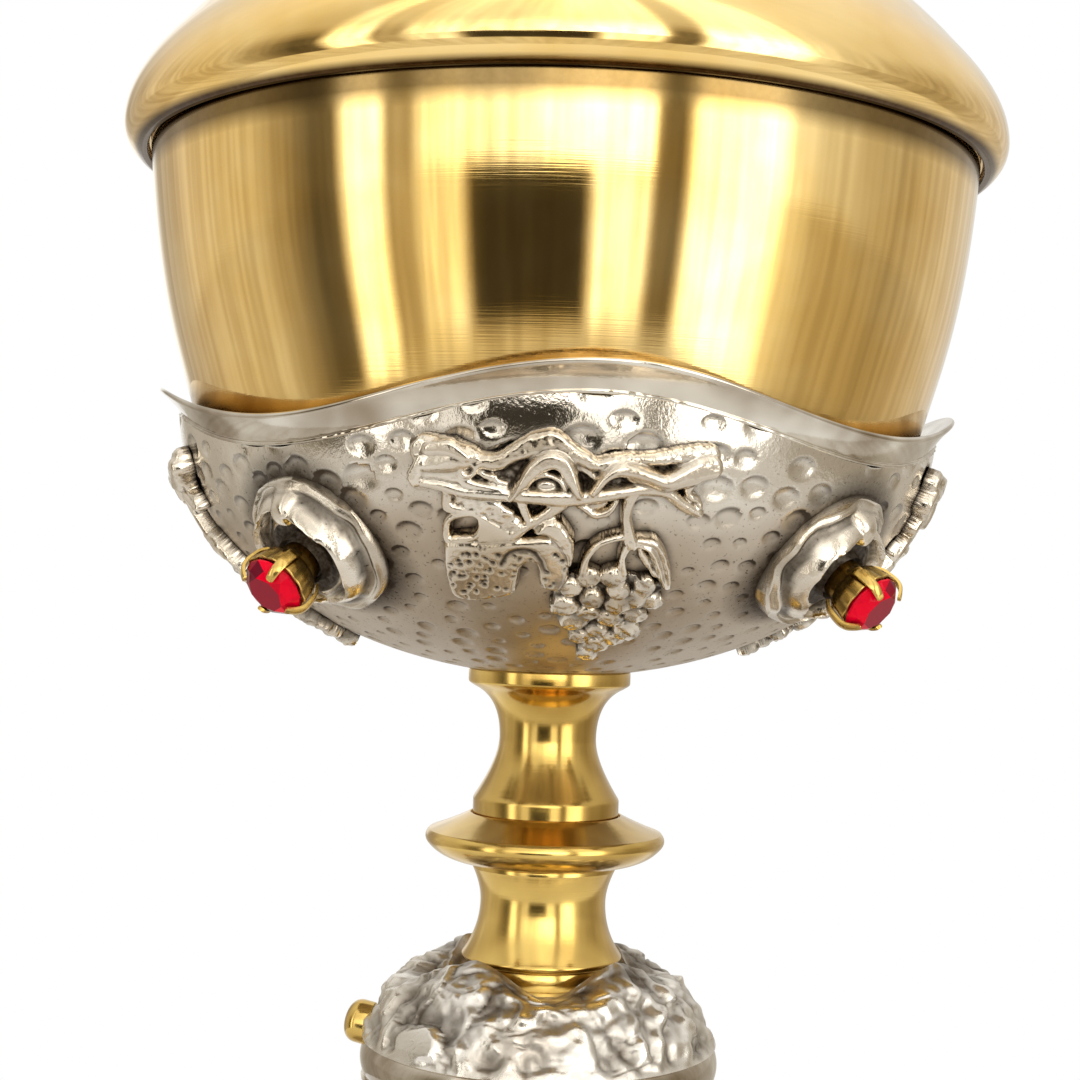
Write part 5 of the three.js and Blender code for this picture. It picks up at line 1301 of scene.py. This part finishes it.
for label, node, low in (("ring_above_knop", "knop_ring_upper", upper_ring_z),
                         ("ring_below_knop", "knop_ring_lower", lower_ring_z)):
    top = low + RING_HEIGHT
    gilt_piece(label, outline((BORE, low), (9.3, low), (9.9, low + 1.3, 9.3, top), (BORE, top)), node, 0.2)
long_waist_z = foot_z + 15.3
gilt_piece("stem_foot_piece", outline(
    (BORE, foot_z), (9.9, foot_z), (9.9, foot_z + 2.4), (9.5, foot_z + 2.4),
    (7.1, foot_z + 5, 7.0, long_waist_z), (7.0, lower_ring_z - 5, 10.7, lower_ring_z - 0.8),
    (10.5, lower_ring_z), (BORE, lower_ring_z)), "stem_foot", 0.3)
collar_top = foot_z - 0.05
gilt_piece("base_collar_ring", outline(
    (BORE, collar_z), (11.5, collar_z), (12.3, collar_z + 1.4, 10.4, collar_top), (BORE, collar_top)),
    "base_collar", 0.25)

# %% [markdown]
# ## Knop
# The knop is two cast silver halves with folded leaves, a smooth band round the middle and a
# gilt stud. The leaves are the cells of a bent Voronoi pattern on an oval skin: each cell is a
# sheet with a tilt of its own, all of them are crumpled by soft noise, the low places hold the
# dark, and four valleys open at the top so that the stem's foot shows.

# %% Two cast halves
KNOP_SIDES, KNOP_ROWS, KNOP_MOUTH = 400, 96, 13.1
LEAF_SIZE, LEAF_BEND, CELL_REACH = 5.6, 4.5, 8


def drift(place):
    """Three smooth random values at a place, the same in every run."""
    return Vector([noise.noise(Vector(place) + Vector((31.4, 17.2, 5.3)) * k) for k in (1, 2, 3)])


def soft_noise(points, size, shift=0.0):
    """A smooth random value at each point, in lumps of a size in millimetres."""
    return np.array([noise.noise(Vector((a / size, b / size, c / size + shift))) for a, b, c in points])


def knop_half(sign):
    """The outer skin as a grid of height and turn, the inner walls as plain rings."""
    bottom = KNOP_BAND_HEIGHT / 2 + 0.05
    start, end = math.asin(bottom / KNOP_HALF_HEIGHT), math.acos(KNOP_MOUTH / KNOP_RADIUS)
    arc = [(KNOP_RADIUS * math.cos(a) - 0.1, KNOP_HALF_HEIGHT * math.sin(a))
           for a in np.linspace(start, end, KNOP_ROWS)]
    lip = [(12.6, KNOP_SEAT + 3.9), (11.8, KNOP_SEAT + 3.2), (11.5, KNOP_SEAT + 1.6), (11.5, KNOP_SEAT)]
    under = [(BORE, KNOP_SEAT), (BORE, KNOP_SEAT - 1.6), (12.5, KNOP_SEAT - 1.6), (17.5, 7.0), (20.6, bottom)]
    points, faces = swept(arc + lip + under, KNOP_SIDES)
    rows = len(arc) + 3
    grid = rows * KNOP_SIDES
    skin = points[:grid].copy()
    radius, turn = round_axis(skin)
    down = np.repeat(np.linspace(0, 1, rows), KNOP_SIDES)
    small, medium = soft_noise(skin, 1.6), soft_noise(skin, 3.1, 20)
    bent = np.array([drift((a / CELL_REACH, b / CELL_REACH, c / CELL_REACH + 9 * sign)) for a, b, c in skin])
    sheet, crease = np.zeros(grid), np.zeros(grid)
    for k, place in enumerate((skin + LEAF_BEND * bent) * [1, 1, 0.6] / LEAF_SIZE):
        gaps, homes = noise.voronoi(Vector(place))
        sheet[k] = (Vector(place) - homes[0]).dot(drift(homes[0] * 3.7))
        crease[k] = gaps[1] - gaps[0]
    leaf = (4.5 * sheet * np.clip(crease / 0.5, 0.15, 1) - 0.3 * np.clip(1 - crease / 0.3, 0, 1) ** 2 - 0.35
            + 0.55 * small + 0.8 * medium)
    calm = np.clip(down / 0.1, 0, 1) * np.clip((1.04 - down) / 0.16, 0.25, 1)
    leaf = np.clip(leaf, -2.0, 0.35) * calm
    valley = np.exp(-(from_lobe(turn) * radius / 6.0) ** 2) * np.clip((down - 0.55) / 0.4, 0, 1) ** 1.2
    points[:grid] = moved(skin, leaf * 0.85 - 0.6 * valley, leaf * 0.5 - 4.4 * valley)
    points[:grid, 2] = np.maximum(points[:grid, 2], bottom)
    points[:, 2] = knop_z + sign * points[:, 2]
    shade = np.zeros(len(points))
    # Patina in the creases and low places, and painted shade towards the mouth, where the stem goes in.
    shade[:grid] = np.clip(0.15 * np.clip(1 - crease / 0.2, 0, 1) - 0.75 * leaf + 0.35 * small - 0.1
                           + 1.1 * np.clip(down - 0.62, 0, 1), 0, 1)
    return points, faces, shade


for label, node, sign in (("knop_top_half", "knop_upper", 1), ("knop_bottom_half", "knop_lower", -1)):
    points, faces, shade = knop_half(sign)
    finish_piece(label, mesh_of(label, points, faces, shade), knop_silver, "vessel", "dark_silver", node,
                 sharp=70)

# %% Band and stud of the knop
turned("knop_middle_band", outline(
    (20.5, knop_z - 2.5), (23.1, knop_z - 2.5), (24.6, knop_z, 23.1, knop_z + 2.5), (20.5, knop_z + 2.5)),
    bright_silver, "vessel", "bright_silver", "knop_band", sides=256, ease=0.3)
STUD_RISE, STUD_TURN, STUD_TILT = 3, -101.5, 90 - 12
stud, stud_faces = swept(eased(outline(
    (0, -1.0), (2.9, -1.0), (2.9, 0.6), (2.8, 2.3, 0.5, 2.55), (0, 2.58)), 0.2, False), 72, False)
c, s = math.cos(math.radians(STUD_TILT)), math.sin(math.radians(STUD_TILT))
x, y, z = stud.T
stud = spun(np.stack([x, c * y - s * z - KNOP_RADIUS, s * y + c * z + STUD_RISE], -1),
            STUD_TURN) + [0, 0, knop_z]
finish_piece("knop_gilt_stud", mesh_of("knop_gilt_stud", stud, stud_faces, np.zeros(len(stud))),
             satin_gold, "vessel", "gold", "knop_stud")

# %% [markdown]
# ## Base
# The base is not in the photograph. It is made as its makers usually do: the same oval as the
# calyx turned upside down, punched in the same way, with a plain bright foot ring. The same
# node tree strikes its marks.

# %% Punched base and foot ring
def base_arc(radius, top, steps):
    """The oval's line from the foot ring up to the collar."""
    bottom = FOOT_RING_HEIGHT + 0.05
    end = math.acos(BASE_TOP_RADIUS / radius)
    return [(radius * math.cos(a), bottom + (top - bottom) * math.sin(a) / math.sin(end))
            for a in np.linspace(0, end, steps)]


section = base_arc(BASE_RADIUS, collar_z, 112)
base_points, base_faces = swept(
    [*section, (BORE, collar_z), (BORE, collar_z - BASE_WALL),
     *base_arc(BASE_RADIUS - BASE_WALL, collar_z - BASE_WALL, 16)[::-1]], SKIN_SIDES)
base_mesh = mesh_of("base", base_points, base_faces, np.zeros(len(base_points)))
is_outer = np.zeros(len(base_points))
is_outer[SKIN_SIDES * 3:len(section) * SKIN_SIDES] = 1.0
carry(base_mesh, "outer", is_outer)
base_silver = punched_metal("base_silver", (226, 218, 204), (182, 167, 147), (62, 50, 38), 0.022, 0.060)
base_mesh = with_tree(base_mesh, punching, punch_inputs, Spacing=0.0043, Low_mark=0.0019, High_mark=0.0015,
                      Low_level=0.006, High_level=0.036, Depth=0.00026, Seed=4, Metal=base_silver)
finish_piece("punched_base", base_mesh, base_silver, "vessel", "dark_silver", "base_shell", sharp=60)
turned("foot_ring", outline(
    (FOOT_RING_RADIUS - 7, 0), (FOOT_RING_RADIUS - 0.4, 0), (FOOT_RING_RADIUS, 0.5),
    (BASE_RADIUS + 0.6, 1.2, BASE_RADIUS, FOOT_RING_HEIGHT), (BASE_RADIUS - BASE_WALL, FOOT_RING_HEIGHT)),
    bright_silver, "vessel", "bright_silver", "base_rim_band", sides=360, ease=0.25)

# %% [markdown]
# ## Rod, nut and washer
# One steel rod pulls the whole stem together, with a nut and a washer inside the hollow base.
# They are seen only from below, but a hex nut without chamfers would look like a toy.

# %% Fasteners under the base
NUT_HEIGHT, THREAD_PITCH = 5, 0.5
nut_z = collar_z - BASE_WALL - WASHER_HEIGHT - NUT_HEIGHT


def hex_nut(across, height, bore, low):
    """Six sides whose corners are turned off at both ends."""
    sides = 96
    turns = np.linspace(0, 2 * math.pi, sides, endpoint=False)
    flat = across / 2 / np.cos((turns + math.pi / 6) % (math.pi / 3) - math.pi / 6)
    rings = [(bore, 0.25), (bore + 0.25, 0.0), (across / 2 - 0.2, 0.0), (None, 0.55), (None, height - 0.55),
             (across / 2 - 0.2, height), (bore + 0.25, height), (bore, height - 0.25)]
    made, faces = [], []
    for r, z in rings:
        spread = flat if r is None else np.full(sides, r)
        chamfer = (spread - across / 2) * 0.55 if r is None else 0 * spread
        up = z + (chamfer if z < height / 2 else -chamfer) if r is None else np.full(sides, z)
        made.append(np.stack([spread * np.cos(turns), spread * np.sin(turns), up + low], -1))
    for k in range(len(rings)):
        n = (k + 1) % len(rings)
        for i in range(sides):
            j = (i + 1) % sides
            faces.append((k * sides + i, k * sides + j, n * sides + j, n * sides + i))
    points = np.concatenate(made)
    return mesh_of("nut", points, faces, np.full(len(points), 0.1))


washer_z = nut_z + NUT_HEIGHT
washer_top = washer_z + WASHER_HEIGHT
finish_piece("base_hex_nut", hex_nut(10, NUT_HEIGHT, NUT_BORE, nut_z), steel, "vessel", "steel", "base_nut",
             sharp=25)
turned("base_flat_washer", outline((BORE, washer_z), (9, washer_z), (9, washer_top), (BORE, washer_top)),
       steel, "vessel", "steel", "base_washer", sides=96, ease=0.2)
rod_low, rod_high = nut_z - 2.5, cup_z - 2.3
thread = []
for first, last in ((rod_low + 0.8, rod_low + 12), (rod_high - 12, rod_high - 1)):
    for low in np.arange(first, last, THREAD_PITCH):
        thread += [(3.0, low), (2.75, low + THREAD_PITCH / 2)]
turned("stem_rod",
       [(0, rod_low), (2.5, rod_low), (2.95, rod_low + 0.45), *thread, (3.0, rod_high), (0, rod_high)],
       steel, "vessel", "steel", "tie_rod", sides=72, ease=0.02)

# %% [markdown]
# ## Lid
# The lid is a spun dome with a rolled shoulder and a lip that hangs over the cup's rim. A guide
# ring soldered inside keeps it centred. Its knob and cross are above the picture's edge, so
# they are plain: a ball and a Latin cross, as such lids carry.

# %% Dome, guide ring and inner nut
CROWN_EDGE, CROWN_RISE, CROWN_LEAN = 53.4, 11.8, math.radians(50)
CROWN_RADIUS = CROWN_EDGE / math.sin(CROWN_LEAN)
crown_centre = CROWN_RISE - CROWN_RADIUS * math.cos(CROWN_LEAN)


def crown(radius, wall=0.0):
    """The height of the dome at a radius, outside or inside its wall."""
    return lid_z + crown_centre + math.sqrt((CROWN_RADIUS - wall) ** 2 - radius ** 2)


def lid_piece(label, points, node, sides, ease, patina_and_shade=None):
    turned(label, points, gold, "lid", "gold", node, sides=sides, ease=ease, patina_and_shade=patina_and_shade)


finial_z = crown(7)
under_z = finial_z - LID_WALL
dome = outline((55.4, lid_z), (55.4, lid_z - 1.2), (56.2, lid_z - 1.2), (58.5, lid_z, 58.5, lid_z + 2.2),
               (58.5, lid_z + 6.4, CROWN_EDGE, lid_z + CROWN_RISE), bends=22)
dome += [(r, crown(r)) for r in np.linspace(CROWN_EDGE, 7, 60)[1:]]
dome += [(PIN_BORE, finial_z), (PIN_BORE, under_z), (7, under_z)]
dome += [(r, crown(r, LID_WALL)) for r in np.linspace(7, 52.2, 40)[1:]]
dome += [(56.1, lid_z + 5.9), (56.1, lid_z + 3.6), (53.1, lid_z + 2.6), (53.1, lid_z)]
# The underside of the lid's lip carries painted shade.
lid_piece("lid_dome", dome, "lid_shell", 256, 0.3,
          lambda points: np.clip((lid_z - 0.35 - points[:, 2]) / 0.6, 0, 1))
lid_piece("lid_guide", outline((51.55, lid_z - 7), (52.15, lid_z - 7), (53.05, lid_z), (53.05, lid_z + 2.6),
                               (52.15, lid_z + 2.6)), "lid_guide_ring", 256, 0.2)
lid_piece("finial_flat_washer",
          outline((PIN_BORE, under_z - 1), (5.5, under_z - 1), (5.5, under_z), (PIN_BORE, under_z)),
          "finial_washer", 96, 0.2)
finish_piece("finial_hex_nut", hex_nut(7, 3, PIN_BORE, under_z - 4), steel, "lid", "steel", "finial_nut",
             sharp=25)

# %% Knob and cross
knob_z = finial_z + 4
cross_z = knob_z + 9
lid_piece("finial_foot", outline((PIN_BORE, finial_z), (6.4, finial_z), (3.5, finial_z + 1.2, 3.4, knob_z),
                                 (PIN_BORE, knob_z)), "finial_collar", 128, 0.2)
lid_piece("finial_ball", outline(
    (PIN_BORE, knob_z), (3.4, knob_z), (6.0, knob_z + 0.6, 6.0, knob_z + 4.1), (6.0, knob_z + 4.9),
    (6.0, knob_z + 8.4, 3.4, cross_z), (PIN_BORE, cross_z)), "finial_knop", 128, 0.25)
half, wide, arm, arms, tall, CROSS_THICK = 1.7, 2.9, 9.0, 16.5, 26.0, 0.0026
cross_line = outline((wide, 0), (half, 3, half, arms - half), (arm - 2, arms - half, arm, arms - wide),
                     (arm, arms + wide), (arm - 2, arms + half, half, arms + half),
                     (half, tall - 2, wide, tall), (-wide, tall), (-half, tall - 2, -half, arms + half),
                     (2 - arm, arms + half, -arm, arms + wide), (-arm, arms - wide),
                     (2 - arm, arms - half, -half, arms - half), (-half, 3, -wide, 0), bends=10)
cross = bmesh.new()
front = [cross.verts.new((x * 0.001, -CROSS_THICK / 2, (z + cross_z) * 0.001)) for x, z in cross_line]
face = cross.faces.new(front)
pushed = bmesh.ops.extrude_face_region(cross, geom=[face])
for vertex in (v for v in pushed["geom"] if isinstance(v, bmesh.types.BMVert)):
    vertex.co.y = CROSS_THICK / 2
bmesh.ops.recalc_face_normals(cross, faces=cross.faces)
rims = [e for e in cross.edges if abs(e.verts[0].co.y - e.verts[1].co.y) < 1e-6]
bmesh.ops.bevel(cross, geom=rims, offset=0.0003, segments=3, affect="EDGES", clamp_overlap=True)
bmesh.ops.triangulate(cross, faces=[f for f in cross.faces if len(f.verts) > 4])
cross_points = np.array([v.co * 1000 for v in cross.verts])
cross_faces = [tuple(v.index for v in f.verts) for f in cross.faces]
cross.free()
pin_low, pin_high = finial_z - 6.2, cross_z + 1
pin, pin_faces = swept(eased(
    [(0, pin_low), (1.6, pin_low), (2.0, finial_z - 5.8), (2.0, pin_high), (0, pin_high)],
    0.05, False), 48, False)
cross_faces += [tuple(i + len(cross_points) for i in f) for f in pin_faces]
cross_all = np.concatenate([cross_points, pin])
finish_piece("lid_cross", mesh_of("lid_cross", cross_all, cross_faces, np.zeros(len(cross_all))),
             gold, "lid", "gold", "finial_cross", sharp=30)
